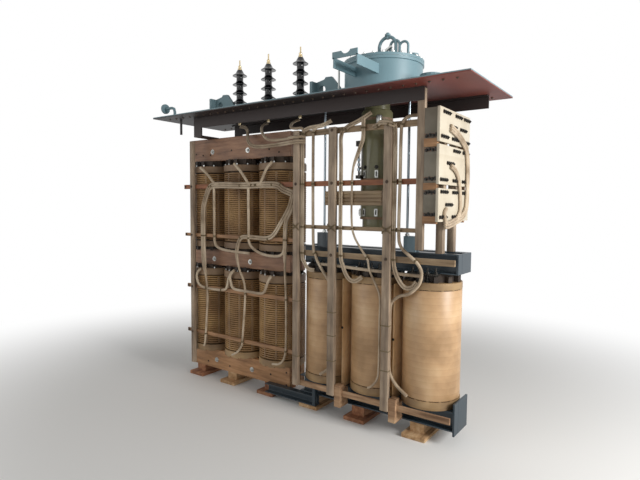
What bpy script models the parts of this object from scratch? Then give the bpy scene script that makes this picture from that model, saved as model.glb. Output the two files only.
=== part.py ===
# Active part of an oil-filled power transformer, lifted out of its tank and hanging from its cover.
# X runs along the cover, Y towards the back and Z up. The origin lies on the floor under the
# middle of the cover. All sizes are in metres.
import math

import bmesh
import bpy
from mathutils import Vector

# Fit between pieces that seat on each other, and the overrun of every cut
SEAT = 0.0003
OVERRUN = 0.004

# Cover, held above the left unit's wooden clamps by its beams
COVER_LENGTH = 2.98
COVER_WIDTH = 0.898
CLAMP_TOP = 2.273
COVER_LIFT = 0.171
COVER_BASE = CLAMP_TOP + COVER_LIFT
COVER_THICKNESS = 0.014
COVER_TOP = COVER_BASE + COVER_THICKNESS

# Lifting lugs standing on the cover, with a cross gusset at the left edge of each
LUG_X = (-1.125, 0.055)
LUG_LENGTH = 0.235
LUG_HEIGHT = 0.229
LUG_THICKNESS = 0.025
LUG_HOLE = 0.034
LUG_OUTLINE_SHARES = ((0, 0), (0, 0.85), (0.36, 0.925), (0.42, 1), (0.66, 0.99), (0.80, 0.82), (1, 0.57), (1, 0))
LUG_HOLE_SHARES = (0.27, 0.577)
GUSSET_REACH = 0.078

# Small fittings of the cover: a bent pipe with a flange, a blind flange on a neck and an eye bolt
PIPE_INSET = 0.224
PIPE_SIDE_INSET = 0.071
PIPE_X = -COVER_LENGTH / 2 + PIPE_INSET
PIPE_Y = -COVER_WIDTH / 2 + PIPE_SIDE_INSET
PIPE_RADIUS = 0.0125
PIPE_RISE = 0.08
PIPE_RUN = 0.126
PIPE_BEND = 0.04
PIPE_FLANGE_RADIUS = 0.044
PIPE_FLANGE = 0.016
NECK_X = 1.04
NECK_Y = 0.02
NECK_RADIUS = 0.05
NECK_HEIGHT = 0.105
NECK_FLANGE_RADIUS = 0.078
NECK_FLANGE = 0.022
EYE_BOLT_X = 0.29
EYE_BOLT_Y = -0.025
EYE_BOLT_RADIUS = 0.008
EYE_BOLT_HEIGHT = 0.30
STUD_INSET = 0.203
STUD_SIDE_INSET = 0.158
STUD_X = -COVER_LENGTH / 2 + STUD_INSET
STUD_Y = -COVER_WIDTH / 2 + STUD_SIDE_INSET
STUD_RADIUS = 0.011
STUD_DROP = 0.139

# Stiffening angles under the cover
BEAM_DEPTH = 0.09
BEAM_FLANGE = 0.05
BEAM_WEB = 0.01
BEAM_LEFT_INSET = 0.35
FRONT_BEAM_INSET = 0.372
REAR_BEAM_INSET = 0.112
BEAM_LEFT = -COVER_LENGTH / 2 + BEAM_LEFT_INSET
HANGER_WIDTH = 0.10
HANGER_PLATE = 0.012

# Left unit: one core with three legs, and two windings on each leg
COIL_RADIUS = 0.202
COIL_BORE = 0.115
END_RING_PROUD = 0.004
COIL_GAP = 0.018
COIL_PITCH = 2 * COIL_RADIUS + 2 * END_RING_PROUD + COIL_GAP
FIRST_COIL_X = -1.1605
COILS_IN_ROW = 3
COIL_GROOVES = 3
COIL_GROOVE_DEPTH = 0.006
COIL_GROOVE = 0.009
END_RING = 0.058
END_GAP = 0.009
PACKER_RADIUS = 0.165
WOOD_CLAMP_LEFT_REACH = 0.232
WOOD_CLAMP_RIGHT_REACH = 0.17
WOOD_CLAMP_LEFT = FIRST_COIL_X - WOOD_CLAMP_LEFT_REACH
WOOD_CLAMP_RIGHT = FIRST_COIL_X + COIL_PITCH * (COILS_IN_ROW - 1) + WOOD_CLAMP_RIGHT_REACH
CLAMP_FACE = 0.105
WOOD_CLAMP_THICKNESS = 0.055
WOOD_CLAMP_LOWER = (0.094, 0.274)
WOOD_CLAMP_MIDDLE = (1.090, 1.238)
WOOD_CLAMP_UPPER = (2.065, CLAMP_TOP)
YOKE_INSET = 0.006
LEG_WIDTH = 0.16

# Right unit: one core with three legs in paper-wrapped windings between steel channels
WRAP_RADIUS = 0.207
WRAP_BORE = 0.12
WRAP_GAP = 0.022
WRAP_PITCH = 2 * WRAP_RADIUS + WRAP_GAP
FIRST_WRAP_X = 0.2235
WRAP_BASE_RING = 0.058
WRAP_CAP = 0.055
STRAP_GROOVE = 0.005
STEEL_LEFT_REACH = 0.2235
STEEL_RIGHT_REACH = 0.233
STEEL_LEFT = FIRST_WRAP_X - STEEL_LEFT_REACH
STEEL_RIGHT = FIRST_WRAP_X + WRAP_PITCH * (COILS_IN_ROW - 1) + STEEL_RIGHT_REACH
STEEL_FACE = 0.125
STEEL_FLANGE = 0.07
STEEL_THICKNESS = 0.01
STEEL_UPPER = (1.195, 1.335)
WRAP_HEADROOM = 0.06
WRAP_TOP = STEEL_UPPER[0] - WRAP_HEADROOM
STEEL_LOWER = (0.112, 0.252)
BARRIER_THICKNESS = 0.006
BARRIER_REACH = 0.17
BARRIER_TOP = 1.1

END_PLATE_UPPER = (1.195, 1.335)
END_PLATE_LOWER = (0.083, 0.31)

# Packing under the two units: a block on a wider plank, and a steel skid in front of the left unit
PLANK_WIDTH = 0.18
PLANK_THICKNESS = 0.03
PLANK_REACH = 0.168
BLOCK_WIDTH = 0.11
BLOCK_REACH = 0.10
LEFT_PACKING_X = (-1.25, -0.825, -0.365)
RIGHT_PACKING_X = (0.108, 0.547, 1.043)
SKID_X = (-0.361, 0.182)
SKID_FRONT = -0.166
SKID_TOP = 0.11
SKID_THICKNESS = 0.008
SKID_STUB = 0.03
SKID_STUB_TOP = 0.19

# Posts and rails of the lead rack, in front of the windings. The board post reaches up behind the
# web of the front beam, whose face follows from it.
RACK_REACH = 0.048
RACK_FACE = WRAP_RADIUS + RACK_REACH
BEAM_FACE = RACK_FACE + SEAT + BEAM_WEB
BOARD_POST_TOP = COVER_BASE - SEAT - BEAM_WEB - SEAT
POST_THICKNESS = 0.035
RAIL_THICKNESS = 0.016
POSTS = {
    "left_post": ((-1.215, -1.178), (0.16, 2.24)),
    "middle_post": ((0.0155, 0.0695), (0.205, 2.24)),
    "inner_post": ((0.354, 0.416), (0.199, 2.24)),
    "outer_post": ((0.82, 0.882), (0.19, 2.24)),
    "board_post": ((1.069, 1.123), (1.36, BOARD_POST_TOP)),
}
RAILS = {
    "lower_left_rail": ((-1.305, 0.06), (0.442, 0.475)),
    "coil_rail": ((-1.305, 0.06), (0.871, 0.906)),
    "clamp_rail": ((-1.33, 0.06), (1.36, 1.39)),
    "long_rail": ((-1.34, 1.11), (1.805, 1.845)),
    "top_rail": ((0.03, 1.11), (2.195, 2.24)),
    "barrel_rail": ((0.03, 1.11), (1.475, 1.505)),
    "channel_rail": ((0.03, 1.3385), (1.262, 1.305)),
    "bottom_rail": ((0.03, 1.33), (0.2, 0.245)),
}

# Wooden brackets that hold the bottom rail off the steel channel, and laminated strips by the barrel
BRACKET_WIDTH = 0.055
BRACKET_INSET = 0.015
BRACKET_FRONT = -RACK_FACE + BRACKET_INSET
BRACKET_BASE = 0.114
BRACKET_TOP = 0.285
STRIP_X = (0.302, 0.79)
STRIP_Z = (1.66, 1.766)
STRIPS = 4
STRIP_GROOVE = 0.006

# Terminal board in three tiers on two posts, with a side wall between wooden crossbars
BOARD_FACE_X = 1.24
BOARD_THICKNESS = 0.02
BOARD_REACH = 0.28
BOARD_TIERS = ((1.555, 1.775), (1.80, 2.06), (2.076, 2.30))
BOARD_POST_WIDTH = 0.05
BOARD_POST_FRONT = -0.12
BOARD_POST_REAR = 0.085
SIDE_WALL = 0.01
CROSSBAR = 0.03
CROSSBAR_HEIGHT = 0.07

# Tap changer: a barrel under the cover, a turret on it and a cradle for the drive shaft
CHANGER_X = 0.624
BARREL_RADIUS = 0.117
BARREL_CLEARANCE = 0.0867
CHANGER_Y = -RACK_FACE + POST_THICKNESS + SEAT + RAIL_THICKNESS + BARREL_CLEARANCE + BARREL_RADIUS
BARREL_BASE = 1.555
BARREL_ROUNDING = 0.02
NECK_OF_BARREL = 0.095
NECK_START = 2.37
CONTACT_BAR_X = (0.527, 0.567)
CONTACT_BAR_Z = (1.86, 2.11)
CONTACT_BAR_PROUD = 0.014
CONTACTS = 5
CONTACT = 0.022
TURRET_X = 0.60
TURRET_RADIUS = 0.30
TURRET_FLANGE = 0.02
TURRET_HEIGHT = 0.257
TURRET_RIM = 0.018
TURRET_BACK_INSET = 0.001
TURRET_Y = COVER_WIDTH / 2 - TURRET_BACK_INSET - TURRET_RIM - TURRET_RADIUS
LID_STEP = 0.016
LID_STEP_RADIUS = 0.25
CRADLE_INSET = 0.004
CRADLE_FRONT = -COVER_WIDTH / 2 + CRADLE_INSET
CRADLE_X = (0.527, 0.714)
CRADLE_PLATE = 0.008
CRADLE_RISE = 0.147
CRADLE_HEIGHT = 0.07
CRADLE_CROSS = 0.045
SADDLE_RADIUS = 0.042
SADDLE_DEPTH = 0.022
LID_PIPE_SHIFT = 0.08
LID_PIPE_Y = TURRET_Y - LID_PIPE_SHIFT
LID_PIPE_X = (0.605, 0.745)
LID_PIPE_HEIGHT = 0.1644
LID_PIPE_RADIUS = 0.015
HANDLE_X = (0.775, 0.845)
HANDLE_HEIGHT = 0.1094
HANDLE_RADIUS = 0.009
VALVE_RADIUS = 0.022
VALVE_HEIGHT = 0.03
ARCH_STEPS = 6

# Bushings with four drooping sheds, a cone on top and a terminal pin
BUSHING_X = (-0.8155, -0.4675, -0.1125)
BUSHING_Y = 0.0
BUSHING_FOOT = 0.03
BUSHING_CORE = 0.031
SHED_RADIUS = 0.066
SHED_RISE = 0.138
SHED_PITCH = 0.0813
SHEDS = 4
SHED_SHARES = ((1, 0), (0.94, -0.06), (0.5, 0.04))
CONE_HEIGHT = 0.045
TERMINAL_HEIGHT = 0.0901
CAP_RADIUS = 0.02
PIN_RADIUS = 0.006
BUSHING_TAIL = 0.055
TAIL_RADIUS = 0.014

# Suspension rods
ROD_RADIUS = 0.009
ROD_X = (0.2235, 0.943)
ROD_Y = -0.11
SHOE = 0.09
SHOE_SHIFT = (0.0, 0.034)
SHOE_DEPTH = 0.07
SHOE_HEIGHT = 0.11

# Leads in front of the rails, and behind the posts where they cross them
LEAD_RADIUS = 0.0115
LEAD_FRONT = -RACK_FACE + POST_THICKNESS - SEAT - LEAD_RADIUS
LEAD_BACK = -RACK_FACE + POST_THICKNESS + SEAT + LEAD_RADIUS
LEAD_OVER = -RACK_FACE - SEAT - LEAD_RADIUS
LEAD_TIE = LEAD_FRONT + LEAD_RADIUS
LEAD_SIDES = 5

ROUND_SIDES = 20
LUG_SIDES = 16
SMALL_SIDES = 8
COIL_SIDES = 14
SHED_SIDES = 12


def paint(piece, colour, roughness, metallic=0.0):
    finish = bpy.data.materials.new(piece.name + "_finish")
    finish.use_nodes = True
    shader = finish.node_tree.nodes["Principled BSDF"]
    shader.inputs["Base Color"].default_value = (*colour, 1.0)
    shader.inputs["Roughness"].default_value = roughness
    shader.inputs["Metallic"].default_value = metallic
    piece.data.materials.append(finish)


def box(x, y, z):
    shape = bmesh.new()
    bmesh.ops.create_cube(shape, size=1)
    size = Vector((x[1] - x[0], y[1] - y[0], z[1] - z[0]))
    middle = Vector((x[0] + x[1], y[0] + y[1], z[0] + z[1])) / 2
    for vertex in shape.verts:
        vertex.co = Vector([a * b for a, b in zip(vertex.co, size)]) + middle
    return shape


def turned(profile, x, y, sides):
    # A ring when no point of the profile lies on the axis, a solid when its two ends do
    shape = bmesh.new()
    rings = []
    for radius, height in profile:
        if radius == 0:
            rings.append([shape.verts.new((x, y, height))])
            continue
        ring = []
        for step in range(sides):
            angle = 2 * math.pi * step / sides
            ring.append(shape.verts.new((x + radius * math.cos(angle), y + radius * math.sin(angle), height)))
        rings.append(ring)
    closed = profile[0][0] > 0
    pairs = list(zip(rings, rings[1:]))
    if closed:
        pairs.append((rings[-1], rings[0]))
    for low, high in pairs:
        for step in range(sides):
            after = (step + 1) % sides
            if len(low) == 1:
                shape.faces.new((low[0], high[after], high[step]))
            elif len(high) == 1:
                shape.faces.new((low[step], low[after], high[0]))
            else:
                shape.faces.new((low[step], low[after], high[after], high[step]))
    bmesh.ops.recalc_face_normals(shape, faces=shape.faces)
    return shape


def plug(x, y, radius, z, sides):
    return turned([(0, z[0]), (radius, z[0]), (radius, z[1]), (0, z[1])], x, y, sides)


def smooth_route(points, steps):
    # Catmull-Rom curve through the points
    ends = [2 * points[0] - points[1]] + points + [2 * points[-1] - points[-2]]
    route = []
    for index in range(1, len(ends) - 2):
        before, start, end, after = ends[index - 1:index + 3]
        for step in range(steps):
            t = step / steps
            route.append(
                0.5 * (2 * start + (end - before) * t
                       + (2 * before - 5 * start + 4 * end - after) * t ** 2
                       + (3 * start - before - 3 * end + after) * t ** 3))
    route.append(points[-1])
    return route


def tube(points, radius, sides, steps=1):
    route = smooth_route([Vector(point) for point in points], steps)
    shape = bmesh.new()
    rings = []
    side = None
    for index, centre in enumerate(route):
        ahead = route[min(index + 1, len(route) - 1)] - route[max(index - 1, 0)]
        ahead.normalize()
        if side is None:
            side = ahead.orthogonal().normalized()
        side = (side - ahead * side.dot(ahead)).normalized()
        up = ahead.cross(side)
        ring = []
        for step in range(sides):
            angle = 2 * math.pi * step / sides
            ring.append(shape.verts.new(centre + radius * (side * math.cos(angle) + up * math.sin(angle))))
        rings.append(ring)
    for low, high in zip(rings, rings[1:]):
        for step in range(sides):
            after = (step + 1) % sides
            shape.faces.new((low[step], low[after], high[after], high[step]))
    shape.faces.new(rings[0])
    shape.faces.new(rings[-1])
    bmesh.ops.recalc_face_normals(shape, faces=shape.faces)
    return shape


def piece_from(name, shape):
    mesh = bpy.data.meshes.new(name)
    shape.to_mesh(mesh)
    shape.free()
    piece = bpy.data.objects.new(name, mesh)
    bpy.context.scene.collection.objects.link(piece)
    return piece


def combine(piece, shape, operation):
    # One Boolean step whose result replaces the piece's mesh
    other = piece_from(piece.name + "_tool", shape)
    step = piece.modifiers.new(operation.lower(), "BOOLEAN")
    step.solver = "EXACT"
    step.operation = operation
    step.object = other
    bpy.context.view_layer.update()
    evaluated = piece.evaluated_get(bpy.context.evaluated_depsgraph_get())
    result = bpy.data.meshes.new_from_object(evaluated)
    piece.modifiers.clear()
    piece.data = result
    bpy.data.objects.remove(other, do_unlink=True)


def solid(name, shapes, cuts=(), rounded=False):
    piece = piece_from(name, shapes[0])
    for shape in shapes[1:]:
        combine(piece, shape, "UNION")
    for shape in cuts:
        combine(piece, shape, "DIFFERENCE")
    if rounded:
        piece.data.shade_smooth()
        piece.data.set_sharp_from_angle(angle=math.radians(35))
    return piece


WOOD = (0.46, 0.30, 0.17)
PALE_WOOD = (0.50, 0.40, 0.28)
RED_WOOD = (0.42, 0.24, 0.13)
KRAFT = (0.56, 0.40, 0.22)
LEAD_PAPER = (0.55, 0.44, 0.29)
STEEL_BLUE = (0.06, 0.09, 0.11)
RED_OXIDE = (0.12, 0.04, 0.03)
GREY_GREEN = (0.28, 0.36, 0.34)


def slab(outline, y):
    # A flat plate whose outline lies in XZ
    shape = bmesh.new()
    face = shape.faces.new([shape.verts.new((x, y[0], z)) for x, z in outline])
    grown = bmesh.ops.extrude_face_region(shape, geom=[face])
    moved = [item for item in grown["geom"] if isinstance(item, bmesh.types.BMVert)]
    bmesh.ops.translate(shape, verts=moved, vec=(0, y[1] - y[0], 0))
    bmesh.ops.recalc_face_normals(shape, faces=shape.faces)
    return shape


def rod(start, end, radius, sides):
    return tube([start, end], radius, sides)


def arch(x, y, base, top, radius, sides):
    # A pipe bent to an upside-down U
    half = (x[1] - x[0]) / 2
    middle = (x[0] + x[1]) / 2
    spring = top - half
    points = [(x[0], y, base)]
    for step in range(ARCH_STEPS + 1):
        angle = math.pi * step / ARCH_STEPS
        points.append((middle - half * math.cos(angle), y, spring + half * math.sin(angle)))
    points.append((x[1], y, base))
    return tube(points, radius, sides)


def lug(left, seat):
    outline = [(left + across * LUG_LENGTH, COVER_TOP + up * LUG_HEIGHT) for across, up in LUG_OUTLINE_SHARES]
    outline[0] = (outline[0][0], seat)
    outline[-1] = (outline[-1][0], seat)
    half = LUG_THICKNESS / 2
    plate = slab(outline, (-half, half))
    gusset = box((left - half, left + half), (-GUSSET_REACH, GUSSET_REACH),
                 (seat, COVER_TOP + LUG_HEIGHT * LUG_OUTLINE_SHARES[1][1]))
    centre = (left + LUG_HOLE_SHARES[0] * LUG_LENGTH, COVER_TOP + LUG_HOLE_SHARES[1] * LUG_HEIGHT)
    hole = rod((centre[0], -LUG_THICKNESS, centre[1]), (centre[0], LUG_THICKNESS, centre[1]), LUG_HOLE, LUG_SIDES)
    return [plate, gusset], hole


def cover_fittings(seat):
    height = COVER_TOP + PIPE_RISE
    end = PIPE_X - PIPE_RUN
    pipe = tube([(PIPE_X, PIPE_Y, seat), (PIPE_X, PIPE_Y, height - PIPE_BEND),
                 (PIPE_X - PIPE_BEND / 4, PIPE_Y, height - PIPE_BEND / 4),
                 (PIPE_X - PIPE_BEND, PIPE_Y, height), (end, PIPE_Y, height)], PIPE_RADIUS, SMALL_SIDES)
    flange = rod((end, PIPE_Y, height), (end - PIPE_FLANGE, PIPE_Y, height), PIPE_FLANGE_RADIUS, LUG_SIDES)
    top = COVER_TOP + NECK_HEIGHT
    neck = turned([(0, seat), (NECK_RADIUS, seat), (NECK_RADIUS, top), (NECK_FLANGE_RADIUS, top),
                   (NECK_FLANGE_RADIUS, top + NECK_FLANGE), (0, top + NECK_FLANGE)], NECK_X, NECK_Y, LUG_SIDES)
    bolt_top = COVER_TOP + EYE_BOLT_HEIGHT
    head = bolt_top - 4 * EYE_BOLT_RADIUS
    bolt = turned([(0, seat), (EYE_BOLT_RADIUS, seat), (EYE_BOLT_RADIUS, head), (2 * EYE_BOLT_RADIUS, head),
                   (2 * EYE_BOLT_RADIUS, bolt_top), (0, bolt_top)], EYE_BOLT_X, EYE_BOLT_Y, SMALL_SIDES)
    stud = rod((STUD_X, STUD_Y, COVER_BASE - STUD_DROP), (STUD_X, STUD_Y, seat), STUD_RADIUS, SMALL_SIDES)
    return [pipe, flange, neck, bolt, stud]


def make_cover():
    half_length = COVER_LENGTH / 2
    half_width = COVER_WIDTH / 2
    seat = COVER_BASE + COVER_THICKNESS / 2
    shapes = [box((-half_length, half_length), (-half_width, half_width), (COVER_BASE, COVER_TOP))]
    through = (COVER_BASE - OVERRUN, COVER_TOP + OVERRUN)
    cuts = []
    for left in LUG_X:
        plates, hole = lug(left, seat)
        shapes += plates
        cuts.append(hole)
    shapes += cover_fittings(seat)
    for x in BUSHING_X:
        cuts.append(plug(x, BUSHING_Y, BUSHING_CORE + SEAT, through, SHED_SIDES))
    cuts.append(plug(CHANGER_X, CHANGER_Y, NECK_OF_BARREL + SEAT, through, ROUND_SIDES))
    paint(solid("cover_plate", shapes, cuts, rounded=True), RED_OXIDE, 0.6)


def channel(x, face, inward, flange, thickness, z):
    # A channel along X whose flanges point from the web to the face
    back = face + inward * flange
    web = face + inward * (flange - thickness)
    whole = box(x, sorted((face, back)), z)
    hollow = box((x[0] - OVERRUN, x[1] + OVERRUN), sorted((face - inward * OVERRUN, web)),
                 (z[0] + thickness, z[1] - thickness))
    return whole, hollow


def make_beams():
    top = COVER_BASE - SEAT
    bottom = top - BEAM_DEPTH
    seat = WOOD_CLAMP_UPPER[1] + SEAT
    for name, side, inset in (("front_beam", -1, FRONT_BEAM_INSET), ("rear_beam", 1, REAR_BEAM_INSET)):
        face = side * BEAM_FACE
        length = (BEAM_LEFT, COVER_LENGTH / 2 - inset)
        upright = box(length, sorted((face, face - side * BEAM_WEB)), (bottom, top))
        ledge = box(length, sorted((face, face - side * BEAM_FLANGE)), (top - BEAM_WEB, top))
        hanger_x = (BEAM_LEFT, BEAM_LEFT + HANGER_WIDTH)
        drop = box(hanger_x, sorted((face, face - side * HANGER_PLATE)), (seat, top - BEAM_WEB))
        foot = box(hanger_x, sorted((face, side * (CLAMP_FACE - WOOD_CLAMP_THICKNESS))),
                   (seat, seat + HANGER_PLATE))
        paint(solid(name, [upright, ledge, drop, foot]), RED_OXIDE, 0.6)


def left_xs():
    return [FIRST_COIL_X + COIL_PITCH * step for step in range(COILS_IN_ROW)]


def right_xs():
    return [FIRST_WRAP_X + WRAP_PITCH * step for step in range(COILS_IN_ROW)]


def make_core(name, xs, half_depth, yokes):
    left = xs[0] - LEG_WIDTH / 2
    right = xs[-1] + LEG_WIDTH / 2
    depth = (-half_depth, half_depth)
    shapes = [box((left, right), depth, yoke) for yoke in yokes]
    for x in xs:
        middle = (yokes[0][0] + YOKE_INSET, yokes[-1][1] - YOKE_INSET)
        shapes.append(box((x - LEG_WIDTH / 2, x + LEG_WIDTH / 2), depth, middle))
    paint(solid(name, shapes), (0.10, 0.10, 0.11), 0.5, 0.6)


def coil_profile(low, high):
    ring = COIL_RADIUS + END_RING_PROUD
    packer = END_GAP * 2
    body_low = low + packer + END_RING
    body_high = high - packer - END_RING
    core = COIL_RADIUS - COIL_GROOVE_DEPTH
    profile = [(COIL_BORE, low), (PACKER_RADIUS, low), (PACKER_RADIUS, low + packer), (ring, low + packer),
               (ring, body_low - END_GAP), (core, body_low - END_GAP), (core, body_low)]
    pitch = (body_high - body_low) / COIL_GROOVES
    for step in range(COIL_GROOVES):
        start = body_low + step * pitch
        profile += [(COIL_RADIUS, start), (COIL_RADIUS, start + pitch - COIL_GROOVE)]
        if step < COIL_GROOVES - 1:
            profile += [(core, start + pitch - COIL_GROOVE), (core, start + pitch)]
    profile += [(core, body_high - COIL_GROOVE), (core, body_high + END_GAP), (ring, body_high + END_GAP),
                (ring, high - packer), (PACKER_RADIUS, high - packer), (PACKER_RADIUS, high), (COIL_BORE, high)]
    return profile


def make_left_unit():
    half_depth = CLAMP_FACE - WOOD_CLAMP_THICKNESS - SEAT
    yokes = [(low + YOKE_INSET, high - YOKE_INSET)
             for low, high in (WOOD_CLAMP_LOWER, WOOD_CLAMP_MIDDLE, WOOD_CLAMP_UPPER)]
    make_core("left_core", left_xs(), half_depth, yokes)
    rows = {"lower": (WOOD_CLAMP_LOWER[1] + SEAT, WOOD_CLAMP_MIDDLE[0] - SEAT),
            "upper": (WOOD_CLAMP_MIDDLE[1] + SEAT, WOOD_CLAMP_UPPER[0] - SEAT)}
    for row, (low, high) in rows.items():
        for number, x in enumerate(left_xs(), 1):
            coil = solid(f"{row}_coil_{number}", [turned(coil_profile(low, high), x, 0, COIL_SIDES)], rounded=True)
            paint(coil, KRAFT, 0.8)
    levels = {"lower": WOOD_CLAMP_LOWER, "middle": WOOD_CLAMP_MIDDLE, "upper": WOOD_CLAMP_UPPER}
    for level, height in levels.items():
        for place, side in (("front", -1), ("rear", 1)):
            face = side * CLAMP_FACE
            shape = box((WOOD_CLAMP_LEFT, WOOD_CLAMP_RIGHT),
                        sorted((face, face - side * WOOD_CLAMP_THICKNESS)), height)
            paint(solid(f"{level}_{place}_clamp", [shape]), RED_WOOD, 0.7)


def wrap_profile():
    low = STEEL_LOWER[1] + SEAT
    high = STEEL_UPPER[0] - SEAT
    slit = WRAP_RADIUS - STRAP_GROOVE
    return [(WRAP_BORE, low), (WRAP_RADIUS, low), (WRAP_RADIUS, low + WRAP_BASE_RING),
            (slit, low + WRAP_BASE_RING), (slit, low + WRAP_BASE_RING + STRAP_GROOVE),
            (WRAP_RADIUS, low + WRAP_BASE_RING + STRAP_GROOVE), (WRAP_RADIUS, WRAP_TOP - WRAP_CAP),
            (slit, WRAP_TOP - WRAP_CAP), (slit, WRAP_TOP - WRAP_CAP + STRAP_GROOVE),
            (WRAP_RADIUS, WRAP_TOP - WRAP_CAP + STRAP_GROOVE), (WRAP_RADIUS, WRAP_TOP),
            (PACKER_RADIUS, WRAP_TOP), (PACKER_RADIUS, high), (WRAP_BORE, high)]


def make_right_unit():
    half_depth = STEEL_FACE - STEEL_FLANGE - SEAT
    yokes = [(low + YOKE_INSET, high - YOKE_INSET) for low, high in (STEEL_LOWER, STEEL_UPPER)]
    make_core("right_core", right_xs(), half_depth, yokes)
    for number, x in enumerate(right_xs(), 1):
        winding = solid(f"wrapped_winding_{number}", [turned(wrap_profile(), x, 0, ROUND_SIDES)], rounded=True)
        paint(winding, KRAFT, 0.75)
    ends = {"upper": END_PLATE_UPPER, "lower": END_PLATE_LOWER}
    for level, height in (("upper", STEEL_UPPER), ("lower", STEEL_LOWER)):
        for place, side in (("front", -1), ("rear", 1)):
            whole, hollow = channel((STEEL_LEFT, STEEL_RIGHT - STEEL_THICKNESS), side * STEEL_FACE, -side,
                                    STEEL_FLANGE, STEEL_THICKNESS, height)
            steel = solid(f"{level}_{place}_channel", [whole], [hollow])
            inner = -(STEEL_FACE - STEEL_FLANGE)
            reach = (-STEEL_FACE, inner) if place == "front" else (inner + SEAT, STEEL_FACE)
            end = box((STEEL_RIGHT - STEEL_THICKNESS - OVERRUN, STEEL_RIGHT), reach, ends[level])
            combine(steel, end, "UNION")
            paint(steel, STEEL_BLUE, 0.45)
    low = STEEL_LOWER[1] + SEAT
    for number, (one, other) in enumerate(zip(right_xs(), right_xs()[1:]), 1):
        x = (one + other) / 2
        shape = box((x - BARRIER_THICKNESS / 2, x + BARRIER_THICKNESS / 2), (-BARRIER_REACH, BARRIER_REACH),
                    (low, BARRIER_TOP))
        paint(solid(f"phase_barrier_{number}", [shape]), KRAFT, 0.8)


def packing(number, x, top):
    plank = box((x - PLANK_WIDTH / 2, x + PLANK_WIDTH / 2), (-PLANK_REACH, PLANK_REACH), (0, PLANK_THICKNESS))
    block = box((x - BLOCK_WIDTH / 2, x + BLOCK_WIDTH / 2), (-BLOCK_REACH, BLOCK_REACH), (0, top))
    paint(solid(f"packing_block_{number}", [plank, block]), WOOD, 0.8)


def make_packing():
    for number, x in enumerate(LEFT_PACKING_X, 1):
        packing(number, x, WOOD_CLAMP_LOWER[0] - SEAT)
    for number, x in enumerate(RIGHT_PACKING_X, 1 + len(LEFT_PACKING_X)):
        packing(number, x, STEEL_LOWER[0] - SEAT)
    back = -CLAMP_FACE - SEAT
    base = PLANK_THICKNESS + SEAT
    whole, hollow = channel(SKID_X, SKID_FRONT, 1, back - SKID_FRONT, SKID_THICKNESS, (base, SKID_TOP))
    stub = box((SKID_X[1] - SKID_STUB, SKID_X[1]), (SKID_FRONT, SKID_FRONT + SKID_STUB), (base, SKID_STUB_TOP))
    skid = solid("base_skid", [whole], [hollow])
    combine(skid, stub, "UNION")
    paint(skid, STEEL_BLUE, 0.5)


def make_rack():
    for name, (x, z) in POSTS.items():
        shape = box(x, (-RACK_FACE, -RACK_FACE + POST_THICKNESS), z)
        paint(solid(name, [shape]), PALE_WOOD, 0.75)
    face = -RACK_FACE + POST_THICKNESS + SEAT
    back = face + RAIL_THICKNESS
    for name, (x, z) in RAILS.items():
        shapes = [box(x, (face, back), z)]
        cuts = []
        if name == "bottom_rail":
            brackets, cuts = rail_brackets()
            shapes += brackets
        paint(solid(name, shapes, cuts), WOOD, 0.75)
    pack = box(STRIP_X, (face, CHANGER_Y - BARREL_RADIUS - SEAT), STRIP_Z)
    pitch = (STRIP_Z[1] - STRIP_Z[0]) / STRIPS
    grooves = []
    for step in range(1, STRIPS):
        middle = STRIP_Z[0] + step * pitch
        grooves.append(box((STRIP_X[0] - OVERRUN, STRIP_X[1] + OVERRUN), (face - OVERRUN, face + STRIP_GROOVE),
                           (middle - STRIP_GROOVE / 2, middle + STRIP_GROOVE / 2)))
    paint(solid("strip_pack", [pack], grooves), WOOD, 0.75)


def rail_brackets():
    # Each stands beside a post; its upper half stays in front of the insulation between the windings
    brackets = []
    cuts = []
    for post in ("inner_post", "outer_post"):
        left = POSTS[post][0][1] + SEAT
        x = (left, left + BRACKET_WIDTH)
        brackets.append(box(x, (BRACKET_FRONT, -STEEL_FACE - SEAT), (BRACKET_BASE, BRACKET_TOP)))
        cuts.append(box((x[0] - OVERRUN, x[1] + OVERRUN), (-BARRIER_REACH - SEAT, -STEEL_FACE + OVERRUN),
                        (STEEL_LOWER[1] - SEAT, BRACKET_TOP + OVERRUN)))
    return brackets, cuts


def make_board():
    back = BOARD_FACE_X - BOARD_THICKNESS
    middle = BOARD_FACE_X - BOARD_THICKNESS / 2
    reach = (-BOARD_REACH, BOARD_REACH)
    shapes = [box((back, BOARD_FACE_X), reach, tier) for tier in BOARD_TIERS]
    wall_x = (POSTS["board_post"][0][1] + SEAT, middle)
    whole = (BOARD_TIERS[0][0], BOARD_TIERS[-1][1])
    shapes.append(box(wall_x, (-RACK_FACE, -RACK_FACE + SIDE_WALL), whole))
    levels = [BOARD_TIERS[0][0] + CROSSBAR_HEIGHT / 2]
    levels += [(low[1] + high[0]) / 2 for low, high in zip(BOARD_TIERS, BOARD_TIERS[1:])]
    for level in levels:
        shapes.append(box(wall_x, (-RACK_FACE - SIDE_WALL, -RACK_FACE - SIDE_WALL + CROSSBAR),
                          (level - CROSSBAR_HEIGHT / 2, level + CROSSBAR_HEIGHT / 2)))
    for y in (BOARD_POST_FRONT, BOARD_POST_REAR):
        shapes.append(box((back - BOARD_POST_WIDTH, middle), (y - BOARD_POST_WIDTH / 2, y + BOARD_POST_WIDTH / 2),
                          (STEEL_UPPER[1] + SEAT, whole[1] - BOARD_THICKNESS)))
    paint(solid("terminal_board", shapes), (0.75, 0.72, 0.63), 0.6)


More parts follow.
